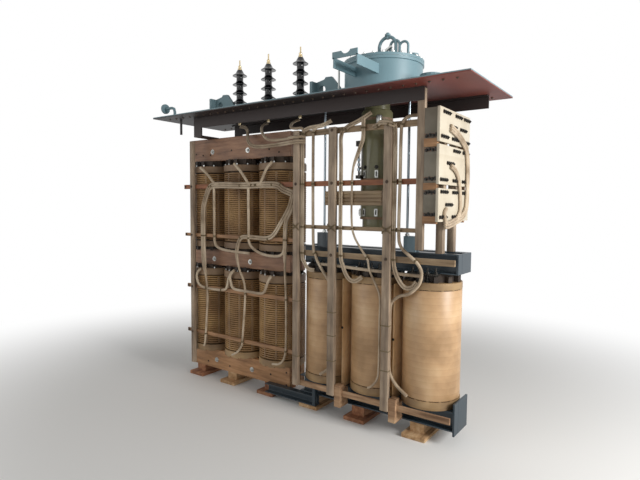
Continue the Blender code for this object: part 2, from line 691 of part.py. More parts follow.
def make_barrel():
    profile = [(0, BARREL_BASE), (BARREL_RADIUS - BARREL_ROUNDING, BARREL_BASE),
               (BARREL_RADIUS, BARREL_BASE + BARREL_ROUNDING), (BARREL_RADIUS, NECK_START),
               (NECK_OF_BARREL, NECK_START), (NECK_OF_BARREL, COVER_TOP), (0, COVER_TOP)]
    front = CHANGER_Y - BARREL_RADIUS
    shapes = [turned(profile, CHANGER_X, CHANGER_Y, ROUND_SIDES)]
    shapes.append(box(CONTACT_BAR_X, (front - CONTACT_BAR_PROUD, CHANGER_Y), CONTACT_BAR_Z))
    pitch = (CONTACT_BAR_Z[1] - CONTACT_BAR_Z[0]) / CONTACTS
    middle = (CONTACT_BAR_X[0] + CONTACT_BAR_X[1]) / 2
    for step in range(CONTACTS):
        low = CONTACT_BAR_Z[0] + (step + 0.5) * pitch - CONTACT / 2
        shapes.append(box((middle - CONTACT / 2, middle + CONTACT / 2),
                          (front - 2 * CONTACT_BAR_PROUD, front), (low, low + CONTACT)))
    paint(solid("changer_barrel", shapes, rounded=True), (0.25, 0.26, 0.13), 0.5)


def cradle():
    # Two plates from the turret wall to the cover's front edge, and a cross plate with a saddle for the shaft
    base = COVER_TOP + CRADLE_RISE
    top = base + CRADLE_HEIGHT
    left, right = CRADLE_X
    shapes = []
    for x in CRADLE_X:
        shapes.append(box((x - CRADLE_PLATE, x), (CRADLE_FRONT, TURRET_Y), (base, top)))
    cross_top = top - CRADLE_PLATE + CRADLE_CROSS
    cross = box((left - 2 * CRADLE_PLATE, right), (CRADLE_FRONT, CRADLE_FRONT + CRADLE_PLATE),
                (top - CRADLE_PLATE, cross_top))
    shaft = ((left + right) / 2, cross_top + SADDLE_RADIUS - SADDLE_DEPTH)
    saddle = rod((shaft[0], CRADLE_FRONT - OVERRUN, shaft[1]),
                 (shaft[0], CRADLE_FRONT + CRADLE_PLATE + OVERRUN, shaft[1]), SADDLE_RADIUS, LUG_SIDES)
    return shapes + [cross], saddle


def make_turret():
    low = COVER_TOP + SEAT
    rim = TURRET_RADIUS + TURRET_RIM
    flange = low + TURRET_HEIGHT
    top = flange + TURRET_FLANGE
    profile = [(0, low), (TURRET_RADIUS, low), (TURRET_RADIUS, flange), (rim, flange), (rim, top), (0, top)]
    plates, saddle = cradle()
    turret = [turned(profile, TURRET_X, TURRET_Y, ROUND_SIDES)] + plates
    paint(solid("changer_turret", turret, [saddle], rounded=True), GREY_GREEN, 0.5)
    low = top + SEAT
    step = low + TURRET_FLANGE
    lid = [(0, low), (rim, low), (rim, step), (LID_STEP_RADIUS, step), (LID_STEP_RADIUS, step + LID_STEP),
           (0, step + LID_STEP)]
    pipe_middle = (LID_PIPE_X[0] + LID_PIPE_X[1]) / 2
    pipe_top = step + LID_PIPE_HEIGHT
    shapes = [turned(lid, TURRET_X, TURRET_Y, ROUND_SIDES),
              arch(LID_PIPE_X, LID_PIPE_Y, step, pipe_top, LID_PIPE_RADIUS, SMALL_SIDES),
              arch(HANDLE_X, LID_PIPE_Y, step, step + HANDLE_HEIGHT, HANDLE_RADIUS, SMALL_SIDES),
              rod((pipe_middle, LID_PIPE_Y, pipe_top - LID_PIPE_RADIUS),
                  (pipe_middle, LID_PIPE_Y, pipe_top + VALVE_HEIGHT), VALVE_RADIUS, SMALL_SIDES)]
    paint(solid("turret_lid", shapes, rounded=True), GREY_GREEN, 0.5)


def bushing_profile():
    low = COVER_BASE - BUSHING_TAIL
    seat = COVER_TOP + SEAT
    foot = seat + BUSHING_FOOT
    start = COVER_TOP + SHED_RISE
    profile = [(0, low), (TAIL_RADIUS, low), (TAIL_RADIUS, COVER_BASE), (BUSHING_CORE, COVER_BASE),
               (BUSHING_CORE, seat), (SHED_RADIUS, seat), (SHED_RADIUS, foot), (BUSHING_CORE, foot)]
    for step in range(SHEDS):
        edge = start + step * SHED_PITCH
        shed = [(SHED_RADIUS * across, edge + up * SHED_PITCH) for across, up in SHED_SHARES]
        profile += [(BUSHING_CORE, shed[2][1]), shed[1], shed[0]]
        if step < SHEDS - 1:
            profile.append((BUSHING_CORE, edge + SHED_PITCH / 3))
    cone = start + (SHEDS - 1) * SHED_PITCH + CONE_HEIGHT
    pin = cone + TERMINAL_HEIGHT / 2
    top = cone + TERMINAL_HEIGHT
    profile += [(CAP_RADIUS, cone), (CAP_RADIUS / 2, cone + CAP_RADIUS / 2), (CAP_RADIUS * 0.8, cone + CAP_RADIUS),
                (CAP_RADIUS * 0.8, pin), (PIN_RADIUS, pin + PIN_RADIUS), (PIN_RADIUS, top), (0, top)]
    return profile


def make_bushings():
    for number, x in enumerate(BUSHING_X, 1):
        bushing = solid(f"bushing_{number}", [turned(bushing_profile(), x, BUSHING_Y, SHED_SIDES)], rounded=True)
        paint(bushing, (0.03, 0.02, 0.02), 0.25)


def make_rods():
    low = STEEL_UPPER[1] + SEAT
    top = COVER_BASE - SEAT
    for number, (x, shift) in enumerate(zip(ROD_X, SHOE_SHIFT), 1):
        middle = x + shift
        shoe = box((middle - SHOE / 2, middle + SHOE / 2), (ROD_Y - SHOE_DEPTH / 2, ROD_Y + SHOE_DEPTH / 2),
                   (low, low + SHOE_HEIGHT))
        shank = rod((x, ROD_Y, low + SHOE), (x, ROD_Y, top), ROD_RADIUS, SMALL_SIDES)
        paint(solid(f"suspension_rod_{number}", [shoe, shank], rounded=True), (0.5, 0.55, 0.58), 0.3, 0.8)


def lead(points):
    # A point is (x, z) in the front layer, or (x, z, y)
    route = [(point[0], point[2] if len(point) == 3 else LEAD_FRONT, point[1]) for point in points]
    return tube(route, LEAD_RADIUS, LEAD_SIDES)


LEFT_LEADS = (
    ((-1.096, 1.999), (-0.998, 1.931), (-0.929, 1.866), (-0.876, 1.833)),
    ((-0.66, 2.016), (-0.574, 1.939), (-0.491, 1.844), (-0.45, 1.824)),
    ((-0.224, 2.013), (-0.288, 1.952), (-0.353, 1.84), (-0.40, 1.824)),
    ((-1.024, 1.724), (-0.969, 1.813), (-0.876, 1.833), (-0.55, 1.824), (-0.201, 1.824), (-0.106, 1.786),
     (-0.004, 1.75)),
    ((-1.024, 1.724), (-1.059, 1.606), (-1.061, 1.333), (-1.051, 1.104), (-1.009, 0.858), (-1.025, 0.593),
     (-1.048, 0.378), (-1.065, 0.336)),
    ((-0.915, 1.815), (-0.912, 1.411), (-0.91, 1.331), (-0.878, 1.279), (-0.773, 1.254), (-0.61, 1.246),
     (-0.479, 1.242)),
    ((-0.49, 1.80), (-0.486, 1.426), (-0.478, 1.334), (-0.421, 1.279), (-0.319, 1.244), (-0.188, 1.236),
     (-0.114, 1.257), (-0.088, 1.322), (-0.079, 1.45)),
    ((-0.004, 1.75), (-0.04, 1.64), (-0.135, 1.502), (-0.209, 1.412), (-0.296, 1.38), (-0.49, 1.384),
     (-0.573, 1.372), (-0.616, 1.31), (-0.629, 1.215), (-0.6, 1.096), (-0.53, 0.922), (-0.563, 0.486),
     (-0.578, 0.411), (-0.629, 0.351), (-0.694, 0.315)),
    ((-0.004, 1.66), (-0.033, 1.598), (-0.073, 1.52), (-0.083, 1.378), (-0.083, 1.14), (-0.070, 0.901),
     (-0.069, 0.531), (-0.086, 0.402), (-0.14, 0.339), (-0.217, 0.323)),
    ((-1.088, 1.064), (-1.139, 1.031), (-1.155, 0.973), (-1.106, 0.903), (-0.967, 0.886), (-0.806, 0.891),
     (-0.753, 0.923), (-0.726, 1.015), (-0.662, 1.082)),
    ((-0.662, 1.082), (-0.713, 1.034), (-0.701, 0.965), (-0.665, 0.916), (-0.494, 0.909), (-0.344, 0.909),
     (-0.299, 0.94), (-0.27, 1.009), (-0.232, 1.066)),
)
RIGHT_LEADS = (
    ((-0.80, 2.375, -0.012), (-0.695, 2.355, -0.06), (-0.595, 2.302, -0.13), (-0.515, 2.21, -0.21),
     (-0.448, 2.159), (-0.346, 2.143), (-0.16, 2.147), (-0.01, 2.15, LEAD_OVER), (0.085, 2.152, LEAD_OVER),
     (0.12, 2.153)),
    ((-0.467, 2.375, -0.012), (-0.46, 2.36, -0.06), (-0.43, 2.32, -0.13), (-0.35, 2.255, -0.205),
     (-0.28, 2.203), (-0.194, 2.186), (-0.06, 2.187), (-0.01, 2.188, LEAD_OVER), (0.085, 2.19, LEAD_OVER),
     (0.12, 2.19)),
    ((-0.1125, 2.375, -0.012), (-0.117, 2.355, -0.06), (-0.102, 2.32, -0.13), (-0.044, 2.278, -0.205),
     (0.02, 2.262), (0.085, 2.257), (0.106, 2.222)),
    ((0.335, 2.30, -0.19), (0.278, 2.263), (0.147, 2.252), (0.095, 2.204), (0.095, 1.997), (0.095, 1.309),
     (0.112, 1.218), (0.156, 1.16), (0.213, 1.153)),
    ((0.278, 2.263), (0.209, 2.239), (0.196, 2.142), (0.202, 1.391), (0.227, 1.264), (0.278, 1.178),
     (0.34, 1.07, LEAD_BACK), (0.368, 0.98, LEAD_BACK), (0.369, 0.451, LEAD_BACK), (0.342, 0.389, LEAD_BACK),
     (0.276, 0.335)),
    ((0.685, 2.325, -0.195), (0.608, 2.27), (0.499, 2.229), (0.452, 2.168), (0.454, 1.979), (0.456, 1.345),
     (0.479, 1.208), (0.528, 1.118), (0.588, 1.102), (0.645, 1.136)),
    ((0.64, 2.285), (0.641, 2.147), (0.609, 2.057), (0.56, 1.932), (0.551, 1.762), (0.553, 1.535),
     (0.578, 1.43), (0.642, 1.334), (0.692, 1.267), (0.709, 1.191), (0.76, 1.097), (0.797, 1.003),
     (0.797, 0.79), (0.797, 0.499), (0.785, 0.405), (0.74, 0.344), (0.707, 0.325)),
    ((0.722, 2.211), (0.765, 2.229), (0.806, 2.235, LEAD_OVER), (0.897, 2.21, LEAD_OVER), (0.898, 2.13),
     (0.898, 1.423),
     (0.90, 1.274), (0.925, 1.174), (0.984, 1.098), (1.043, 1.1), (1.078, 1.141)),
    ((1.16, 2.268, -0.19), (1.10, 2.268, LEAD_BACK), (1.05, 2.268, LEAD_BACK), (1.0, 2.262), (0.953, 2.227),
     (0.942, 2.147), (0.94, 1.826), (0.937, 1.479), (0.954, 1.379), (1.015, 1.322), (1.082, 1.267),
     (1.113, 1.203), (1.094, 1.122), (1.022, 1.054), (0.93, 1.02, LEAD_BACK), (0.873, 0.955, LEAD_BACK),
     (0.868, 0.799, LEAD_BACK), (0.866, 0.582, LEAD_BACK), (0.874, 0.466, LEAD_BACK), (0.925, 0.387, LEAD_BACK),
     (1.021, 0.334)),
    ((0.255, 1.203, LEAD_TIE), (0.33, 1.202, LEAD_BACK), (0.43, 1.20, LEAD_BACK), (0.49, 1.199, LEAD_TIE),
     (0.72, 1.19, LEAD_TIE), (0.80, 1.187, LEAD_BACK), (0.89, 1.185, LEAD_BACK), (0.93, 1.184, LEAD_TIE),
     (1.105, 1.182, LEAD_TIE)),
)
BOARD_LEADS = (
    ((-0.12, 2.179), (-0.027, 2.158), (0.093, 2.118), (0.187, 2.058), (0.221, 1.954), (0.226, 1.775),
     (0.211, 1.645), (0.129, 1.582), (0.009, 1.556), (-0.104, 1.535), (-0.19, 1.53)),
    ((-0.101, 1.929), (-0.005, 1.895), (0.056, 1.824), (0.091, 1.7), (0.085, 1.617), (0.027, 1.567)),
    ((-0.165, 1.644), (-0.199, 1.605), (-0.162, 1.535)),
)


def make_leads():
    # Leads of one side are joined where they cross or meet
    paint(solid("left_leads", [lead(points) for points in LEFT_LEADS]), LEAD_PAPER, 0.8)
    paint(solid("right_leads", [lead(points) for points in RIGHT_LEADS]), LEAD_PAPER, 0.8)
    x = BOARD_FACE_X + SEAT + LEAD_RADIUS
    shapes = [tube([(x, y, z) for y, z in points], LEAD_RADIUS, LEAD_SIDES) for points in BOARD_LEADS]
    paint(solid("board_leads", shapes), LEAD_PAPER, 0.8)


def main():
    for old in list(bpy.data.objects):
        bpy.data.objects.remove(old, do_unlink=True)
    make_cover()
    make_beams()
    make_left_unit()
    make_right_unit()
    make_packing()
    make_rack()
    make_board()
    make_barrel()
    make_turret()
    make_bushings()
    make_rods()
    make_leads()


main()
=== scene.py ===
# %% [markdown]
# # The active part of a power transformer
#
# A power transformer hides in a tank of oil. What hangs here from the tank's cover is its inside:
# two iron cores with their windings, the leads that join them, a tap changer and three bushings.
# The solids come from a CAD model, in metres, and this file gives them their looks, cell by cell.

import math

import bmesh
import bpy
from mathutils import Matrix, Vector


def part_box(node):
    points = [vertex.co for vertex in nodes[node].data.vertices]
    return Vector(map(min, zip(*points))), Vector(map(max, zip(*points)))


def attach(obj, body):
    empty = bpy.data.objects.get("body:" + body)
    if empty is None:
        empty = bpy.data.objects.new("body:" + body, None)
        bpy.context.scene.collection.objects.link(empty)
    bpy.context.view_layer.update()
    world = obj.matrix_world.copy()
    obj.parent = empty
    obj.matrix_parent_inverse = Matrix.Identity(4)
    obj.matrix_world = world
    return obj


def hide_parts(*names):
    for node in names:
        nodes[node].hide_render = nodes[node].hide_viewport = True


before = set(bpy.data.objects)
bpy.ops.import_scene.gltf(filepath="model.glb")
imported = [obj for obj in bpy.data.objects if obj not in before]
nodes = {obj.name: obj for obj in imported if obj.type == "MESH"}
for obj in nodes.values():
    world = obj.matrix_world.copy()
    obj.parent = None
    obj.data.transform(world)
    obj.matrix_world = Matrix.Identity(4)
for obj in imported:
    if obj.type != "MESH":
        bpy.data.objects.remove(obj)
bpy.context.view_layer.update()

# %% [markdown]
# ## Camera
#
# The picture was taken at standing height by the right end, looking along the frame, so the
# right end is near and the left end far. A wide 28 mm lens gives that strong perspective. The eye
# height of 1.65 m is what sets the scale of the whole model, so the camera keeps it.

# %% Camera at eye height
EYE = Vector((2.5076, -3.3643, 1.65))
YAW = math.radians(35.686)
PITCH = math.radians(-3.783)
ROLL = math.radians(0.449)
FOCAL_PIXELS = 500.29
PICTURE_WIDTH = 640
SENSOR = 36.0
# The lens axis misses the picture's middle by this many pixels
OFF_AXIS = (1.0, -0.5)


def new_object(name, data):
    made = bpy.data.objects.new(name, data)
    bpy.context.scene.collection.objects.link(made)
    return made


camera_data = bpy.data.cameras.new("eye")
camera_data.sensor_width = SENSOR
camera_data.lens = FOCAL_PIXELS / PICTURE_WIDTH * SENSOR
camera_data.shift_x = OFF_AXIS[0] / PICTURE_WIDTH
camera_data.shift_y = OFF_AXIS[1] / PICTURE_WIDTH
camera = new_object("eye", camera_data)
look = Vector((-math.sin(YAW) * math.cos(PITCH), math.cos(YAW) * math.cos(PITCH), math.sin(PITCH)))
camera.matrix_world = (Matrix.Translation(EYE) @ look.to_track_quat("-Z", "Y").to_matrix().to_4x4()
                       @ Matrix.Rotation(ROLL, 4, "Z"))
bpy.context.scene.camera = camera
print("lens", round(camera_data.lens, 2), "mm")

# %% [markdown]
# ## Colours and nodes
#
# A colour is read from a swatch as an sRGB hex value, but a shader adds up light, which is linear.
# One function turns the first into the second. Another adds a node to any tree, with its settings
# and links, so a material or a Geometry Nodes tree reads as a short list. Nearly every finish here
# varies over the surface, so a new one brings the object's own coordinates with it, in metres.

# %% Colour and node helpers
def tint(swatch):
    channels = [int(swatch[place:place + 2], 16) / 255 for place in (1, 3, 5)]
    linear = [c / 12.92 if c <= 0.04045 else ((c + 0.055) / 1.055) ** 2.4 for c in channels]
    return (*linear, 1.0)


def feed(tree, node, inputs):
    # A node stands for its first output, and a list feeds one input several times
    for name, value in inputs.items():
        for item in value if isinstance(value, list) else [value]:
            if isinstance(item, bpy.types.Node):
                item = item.outputs[0]
            if isinstance(item, bpy.types.NodeSocket):
                tree.links.new(item, node.inputs[name])
            else:
                node.inputs[name].default_value = item


def add(tree, kind, inputs=None, stops=(), **settings):
    made = tree.nodes.new(kind)
    for name, value in settings.items():
        setattr(made, name, value)
    feed(tree, made, inputs or {})
    if stops:
        # The colours of a ramp, which are neither settings nor inputs
        elements = made.color_ramp.elements
        while len(elements) < len(stops):
            elements.new(0.5)
        for element, (place, swatch) in zip(elements, stops):
            element.position = place
            element.color = tint(swatch)
    return made


def new_finish(name, swatch, roughness, metallic=0.0):
    finish = bpy.data.materials.new(name)
    finish.use_nodes = True
    tree = finish.node_tree
    shader = tree.nodes["Principled BSDF"]
    feed(tree, shader, {"Base Color": tint(swatch), "Roughness": roughness, "Metallic": metallic})
    place = add(tree, "ShaderNodeTexCoord").outputs["Object"]
    return finish, tree, shader, place


print("mid grey is", [round(v, 3) for v in tint("#808080")])

# %% [markdown]
# ## Floor
#
# A pale studio floor takes the shadow, and fades to white away from the object, so floor and
# background meet without a line. The fade only counts for what the camera and mirrors see, and the
# real floor under it goes on bouncing light up.

# %% A pale floor that fades out
FLOOR_RADIUS = 40.0
FLOOR_FADE = (1.8, 5.0)

floor_mesh = bpy.data.meshes.new("floor")
shape = bmesh.new()
bmesh.ops.create_circle(shape, cap_ends=True, segments=64, radius=FLOOR_RADIUS)
shape.to_mesh(floor_mesh)
shape.free()
floor = new_object("floor", floor_mesh)

screed, tree, shader, place = new_finish("painted studio floor", "#E9E8E5", 0.8)
distance = add(tree, "ShaderNodeVectorMath", {0: place}, operation="LENGTH")
fade = add(tree, "ShaderNodeMapRange",
           {"Value": distance.outputs["Value"], "From Min": FLOOR_FADE[0], "From Max": FLOOR_FADE[1]},
           interpolation_type="SMOOTHSTEP")
path = add(tree, "ShaderNodeLightPath")
seen = add(tree, "ShaderNodeMath", {0: path.outputs["Is Camera Ray"], 1: path.outputs["Is Glossy Ray"]},
           operation="MAXIMUM")
amount = add(tree, "ShaderNodeMath", {0: fade, 1: seen}, operation="MULTIPLY")
white = add(tree, "ShaderNodeEmission", {"Color": (1, 1, 1, 1), "Strength": 1.0})
blend = add(tree, "ShaderNodeMixShader", {"Fac": amount, 1: shader, 2: white})
feed(tree, tree.nodes["Material Output"], {"Surface": blend})
floor.data.materials.append(screed)
print("floor", floor.dimensions.x, "m across")

# %% [markdown]
# ## Backdrop
#
# Behind the object the picture is white. A white world would also light it from all sides and flatten
# it, so the world is only white to the camera and in mirrors, and dim as a light.

# %% White world behind it
WORLD_LIGHT = 0.30

world = bpy.data.worlds.new("studio")
world.use_nodes = True
bpy.context.scene.world = world
tree = world.node_tree
tree.nodes.clear()
path = add(tree, "ShaderNodeLightPath")
seen = add(tree, "ShaderNodeMath", {0: path.outputs["Is Camera Ray"], 1: path.outputs["Is Glossy Ray"]},
           operation="MAXIMUM")
seen = add(tree, "ShaderNodeMath", {0: seen, 1: path.outputs["Is Transmission Ray"]}, operation="MAXIMUM")
strength = add(tree, "ShaderNodeMapRange", {"Value": seen, "To Min": WORLD_LIGHT, "To Max": 1.0})
sky = add(tree, "ShaderNodeBackground", {"Color": (1, 1, 1, 1), "Strength": strength})
add(tree, "ShaderNodeOutputWorld", {"Surface": sky})
bpy.context.scene.view_settings.view_transform = "Standard"
print("ambient light", WORLD_LIGHT)

# %% [markdown]
# ## Lamps
#
# In the photo daylight comes in past the right end, and the left front lies in a dull glow. Two soft
# area lamps do the same: a bright one at the right end, and a wide dim one at the left front.

# %% Daylight past the right end, a dim fill in front
LAMPS = {
    "daylight": ((5.8, -0.5, 2.7), (0.9, 0.0, 1.2), 1.8, 285.0),
    "front_fill": ((-2.9, -4.6, 2.3), (-0.9, 0.0, 1.1), 3.0, 46.0),
}
for name, (spot, target, size, power) in LAMPS.items():
    lamp_data = bpy.data.lights.new(name, "AREA")
    lamp_data.size = size
    lamp_data.energy = power
    aim = (Vector(target) - Vector(spot)).to_track_quat("-Z", "Y")
    new_object(name, lamp_data).matrix_world = Matrix.Translation(spot) @ aim.to_matrix().to_4x4()
    print("lamp", name, power, "W")

# %% [markdown]
# ## Timber
#
# Posts and rails are dressed beech boards, dried and dipped in oil. The grain runs along a board, and
# darker and lighter streaks lie a few millimetres apart. A noise stretched along the board gives the
# streaks, and a second, slow noise gives the uneven tan of boards that have been in oil. Grain axis
# and colours are the only things that change from one timber to the next, so one function makes all.

# %% Timber finishes
GRAIN_SPACING = 0.006
GRAIN_LENGTH = 0.30
# One cell of a noise with this much detail shows about six streaks
CELL_STREAKS = 6


def timber(name, swatches, axis, roughness=0.62, stain=0.5):
    dark, plain, light = swatches
    finish, tree, shader, place = new_finish(name, plain, roughness)
    scale = [1 / GRAIN_SPACING / CELL_STREAKS] * 3
    scale["XYZ".index(axis)] = 1 / GRAIN_LENGTH
    along = add(tree, "ShaderNodeMapping", {"Vector": place, "Scale": tuple(scale)}, vector_type="POINT")
    streaks = add(tree, "ShaderNodeTexNoise", {"Vector": along, "Scale": 1.0, "Detail": 5.0, "Roughness": 0.62})
    patches = add(tree, "ShaderNodeTexNoise", {"Vector": place, "Scale": 3.2, "Detail": 3.0})
    grain = add(tree, "ShaderNodeValToRGB", {"Fac": streaks}, stops=[(0.32, dark), (0.5, plain), (0.70, light)])
    shade = add(tree, "ShaderNodeValToRGB", {"Fac": patches}, stops=[(0.36, "#8A8480"), (0.62, "#FFFFFF")])
    colour = add(tree, "ShaderNodeMix", {0: stain, 6: grain, 7: shade}, data_type="RGBA", blend_type="MULTIPLY")
    bump = add(tree, "ShaderNodeBump", {"Strength": 0.35, "Distance": 0.0012, "Height": streaks})
    feed(tree, shader, {"Base Color": colour.outputs[2], "Normal": bump})
    return finish


# Oiled beech: a soft satin grey-tan
post_beech = timber("oiled beech post", ("#7A6857", "#A08C76", "#BCA890"), "Z")
rail_beech = timber("oiled beech rail", ("#7A6449", "#A08768", "#BCA583"), "X")
# The same beech where oil has turned it warmer, on the level rails of the left unit
warm_rail = timber("warm oiled beech rail", ("#7C583A", "#A47A54", "#C0966F"), "X")
# Red hardwood: the long rail over both units has stayed orange
orange_rail = timber("orange hardwood rail", ("#74442A", "#9A5F3D", "#B37750"), "X")
# Densified laminated wood: resin-pressed veneers, redder and darker than plain beech
pressed_wood = timber("densified laminated wood", ("#735039", "#976E51", "#AF8566"), "X", 0.5, 0.45)
# The lowest clamp is paler and yellower
pale_clamp = timber("paler densified laminated wood", ("#86603F", "#B08257", "#C89A70"), "X", 0.5, 0.3)
# Sawn softwood packing: rough and pale
packing_plank = timber("sawn softwood plank", ("#98734D", "#C09A70", "#D9BD95"), "Y", 0.85)
# The rail near the floor is sawn too, brown and dusty
sawn_rail = timber("sawn hardwood rail", ("#77583F", "#A68363", "#C7A683"), "X", 0.8)
# Every other packing block is of a redder wood
sawn_block = timber("sawn hardwood block", ("#7C5036", "#A87352", "#C3946F"), "Y", 0.8)
print("finishes so far:", len(bpy.data.materials))

# %% [markdown]
# ## Paints
#
# Clamps and frame are steel plate under sprayed alkyd paint: dark blue-grey on the right core, satin
# grey-green on the turret. Paint over plate is never quite even: a slow noise moves its colour and
# gloss, and shallow ripples bend what it mirrors.

# %% Paint finishes
RIPPLE_SCALE = 26.0


def coat(name, swatch, roughness, spread=0.12):
    finish, tree, shader, place = new_finish(name, swatch, roughness)
    cloud = add(tree, "ShaderNodeTexNoise", {"Vector": place, "Scale": 2.4, "Detail": 6.0})
    value = add(tree, "ShaderNodeMapRange",
                {"Value": cloud, "From Min": 0.3, "From Max": 0.7, "To Min": 1 - spread, "To Max": 1 + spread})
    colour = add(tree, "ShaderNodeHueSaturation", {"Color": tint(swatch), "Value": value})
    gloss = add(tree, "ShaderNodeMapRange",
                {"Value": cloud, "To Min": roughness - 0.1, "To Max": roughness + 0.12})
    ripple = add(tree, "ShaderNodeTexNoise", {"Vector": place, "Scale": RIPPLE_SCALE, "Detail": 2.0})
    bump = add(tree, "ShaderNodeBump", {"Strength": 0.12, "Distance": 0.002, "Height": ripple})
    feed(tree, shader, {"Base Color": colour, "Roughness": gloss, "Normal": bump})
    return finish


grey_green = coat("grey-green alkyd paint", "#75929A", 0.40)
blue_grey = coat("blue-grey alkyd paint", "#29363E", 0.36)
blue_grey_light = coat("lighter blue-grey alkyd paint", "#6F8691", 0.42)
# Red oxide primer, painted near black as painted shade: the beams under the cover
oxide = coat("red oxide primer dark as painted shade", "#241815", 0.58, 0.22)
# Lamination edges of electrical steel under varnish: nearly black and dull
core_varnish = coat("varnished electrical steel", "#2F2D2E", 0.55)
print("finishes so far:", len(bpy.data.materials))

# %% [markdown]
# ## The cover's two coats
#
# The cover's underside has only its red oxide primer, and its top a satin grey-green coat, so one
# finish holds both and changes at the middle of the plate's thickness. Painted shade makes the primer
# near black over the left unit, and painted daylight leaves it red past the right one. The bolt that
# stands on the plate is bare.

# %% Finish of the cover
COVER_SPLIT = 2.451
# Where the painted shade under the cover gives way to painted daylight along X, and over how far
SUNLIT_EDGE = 0.75
SUNLIT_BLEND = 0.35
LONE_BOLT = (0.29, -0.025, 0.0)
LONE_BOLT_REACH = 0.018
BARE_STEEL = "#B9BBB8"

cover_coat, tree, shader, place = new_finish("primer below and top coat above", "#6B322A", 0.55)
height = add(tree, "ShaderNodeSeparateXYZ", {0: place})
above = add(tree, "ShaderNodeMath", {0: height.outputs["Z"], 1: COVER_SPLIT}, operation="GREATER_THAN")
cloud = add(tree, "ShaderNodeTexNoise", {"Vector": place, "Scale": 1.7, "Detail": 6.0})
# Painted shade: near black primer where the underside lies in shade; painted light: red where daylight reaches it
# past the right unit
shaded_primer = add(tree, "ShaderNodeValToRGB", {"Fac": cloud},
             stops=[(0.35, "#140F10"), (0.52, "#1E1514"), (0.7, "#2C1E1B")])
sunlit_primer = add(tree, "ShaderNodeValToRGB", {"Fac": cloud},
            stops=[(0.35, "#5C2C25"), (0.52, "#74362C"), (0.7, "#874338")])
sunlit_edge = add(tree, "ShaderNodeMapRange",
               {"Value": height.outputs["X"], "From Min": SUNLIT_EDGE - SUNLIT_BLEND,
                "From Max": SUNLIT_EDGE + SUNLIT_BLEND}, interpolation_type="SMOOTHSTEP")
under = add(tree, "ShaderNodeMix", {0: sunlit_edge, 6: shaded_primer, 7: sunlit_primer}, data_type="RGBA")
over = add(tree, "ShaderNodeValToRGB", {"Fac": cloud}, stops=[(0.35, "#6B858C"), (0.65, "#7E979D")])
coats = add(tree, "ShaderNodeMix", {0: above, 6: under.outputs[2], 7: over}, data_type="RGBA")
plan = add(tree, "ShaderNodeVectorMath", {0: place, 1: (1, 1, 0)}, operation="MULTIPLY")
from_bolt = add(tree, "ShaderNodeVectorMath", {0: plan, 1: LONE_BOLT}, operation="DISTANCE")
near = add(tree, "ShaderNodeMath", {0: from_bolt.outputs["Value"], 1: LONE_BOLT_REACH}, operation="LESS_THAN")
bare = add(tree, "ShaderNodeMath", {0: near, 1: above}, operation="MULTIPLY")
colour = add(tree, "ShaderNodeMix", {0: bare, 6: coats.outputs[2], 7: tint(BARE_STEEL)}, data_type="RGBA")
feed(tree, shader, {"Base Color": colour.outputs[2], "Metallic": bare})
print("cover coats change at", COVER_SPLIT, "m")

# %% [markdown]
# ## Metals and glaze
#
# Small hard parts wear a film of oxide, zinc or oil that is darker in one spot than the next, so a
# fine noise moves them between two tones. Drawn and turned metal keeps its colour instead, and its
# gloss changes along the lines that the tool has left.

# %% Metals and small hard parts
def mottled(name, swatches, roughness, metallic, scale, edges=(0.4, 0.7), layers=None):
    dark, plain, light = swatches
    finish, tree, shader, place = new_finish(name, plain, roughness, metallic)
    film = add(tree, "ShaderNodeTexNoise", {"Vector": place, "Scale": scale})
    colour = add(tree, "ShaderNodeValToRGB", {"Fac": film}, stops=list(zip(edges, (dark, light))))
    feed(tree, shader, {"Base Color": colour, **(layers or {})})
    return finish


def tooled(name, swatch, roughness, scale, gloss):
    finish, tree, shader, place = new_finish(name, swatch, roughness, 1.0)
    along = add(tree, "ShaderNodeMapping", {"Vector": place, "Scale": scale})
    lines = add(tree, "ShaderNodeTexNoise", {"Vector": along, "Scale": 1.0})
    shine = add(tree, "ShaderNodeMapRange", {"Value": lines, "To Min": gloss[0], "To Max": gloss[1]})
    feed(tree, shader, {"Roughness": shine})
    return finish


# Drawn bright steel rod: polished along its length, mirror-like with fine lines
bright_steel = tooled("drawn bright steel", "#97A2AA", 0.3, (60.0, 60.0, 2.0), (0.26, 0.38))
# Turned brass terminal
brass = tooled("turned brass", "#C2B08C", 0.34, (220.0, 220.0, 220.0), (0.18, 0.40))
# Zinc-plated steel nuts: pale, a little cloudy
zinc = mottled("zinc plated steel", ("#9C9E9C", BARE_STEEL, "#D2D3CF"), 0.38, 1.0, 160.0, (0.35, 0.65))
# Blackened steel bolts: oiled black oxide
black_bolt = mottled("black oxide steel", ("#1C1B19", "#26241F", "#4B463F"), 0.42, 0.6, 90.0, (0.45, 0.7))
# Plain steel bolts on the wood: brown with old oil
oiled_bolt = mottled("oil-browned steel", ("#3B3027", "#4E4033", "#6B5947"), 0.55, 0.4, 70.0)
# Bare copper of the links on the terminal board, dulled by the oil
copper = mottled("dull copper", ("#4A342A", "#6E4B38", "#8E6248"), 0.45, 0.9, 55.0)
# Fired glaze on porcelain: near black brown under a clear glossy layer
glaze = mottled("dark porcelain glaze", ("#08090C", "#0D0D11", "#17151A"), 0.16, 0.0, 18.0,
                layers={"Specular IOR Level": 0.35, "Coat Weight": 0.35, "Coat Roughness": 0.06})
print("finishes so far:", len(bpy.data.materials))

# %% [markdown]
# ## Paper and board
#
# Nearly all insulation in a transformer is cellulose. The right windings are wound over with kraft paper
# in wide turns, whose edges leave faint level lines. The left windings show their own conductors, each
# wrapped in oil-soaked paper. Rings, sheets and the terminal board are pressboard. One function makes
# them all: a slow cloud of oil stain, and a line at every turn of the paper.

# %% Paper and board finishes
KRAFT_TURN = 0.045
# Blender's wave texture runs through 20 radians a metre at scale 1
WAVE_RADIANS = 20


def wave_scale(period):
    return 2 * math.pi / WAVE_RADIANS / period


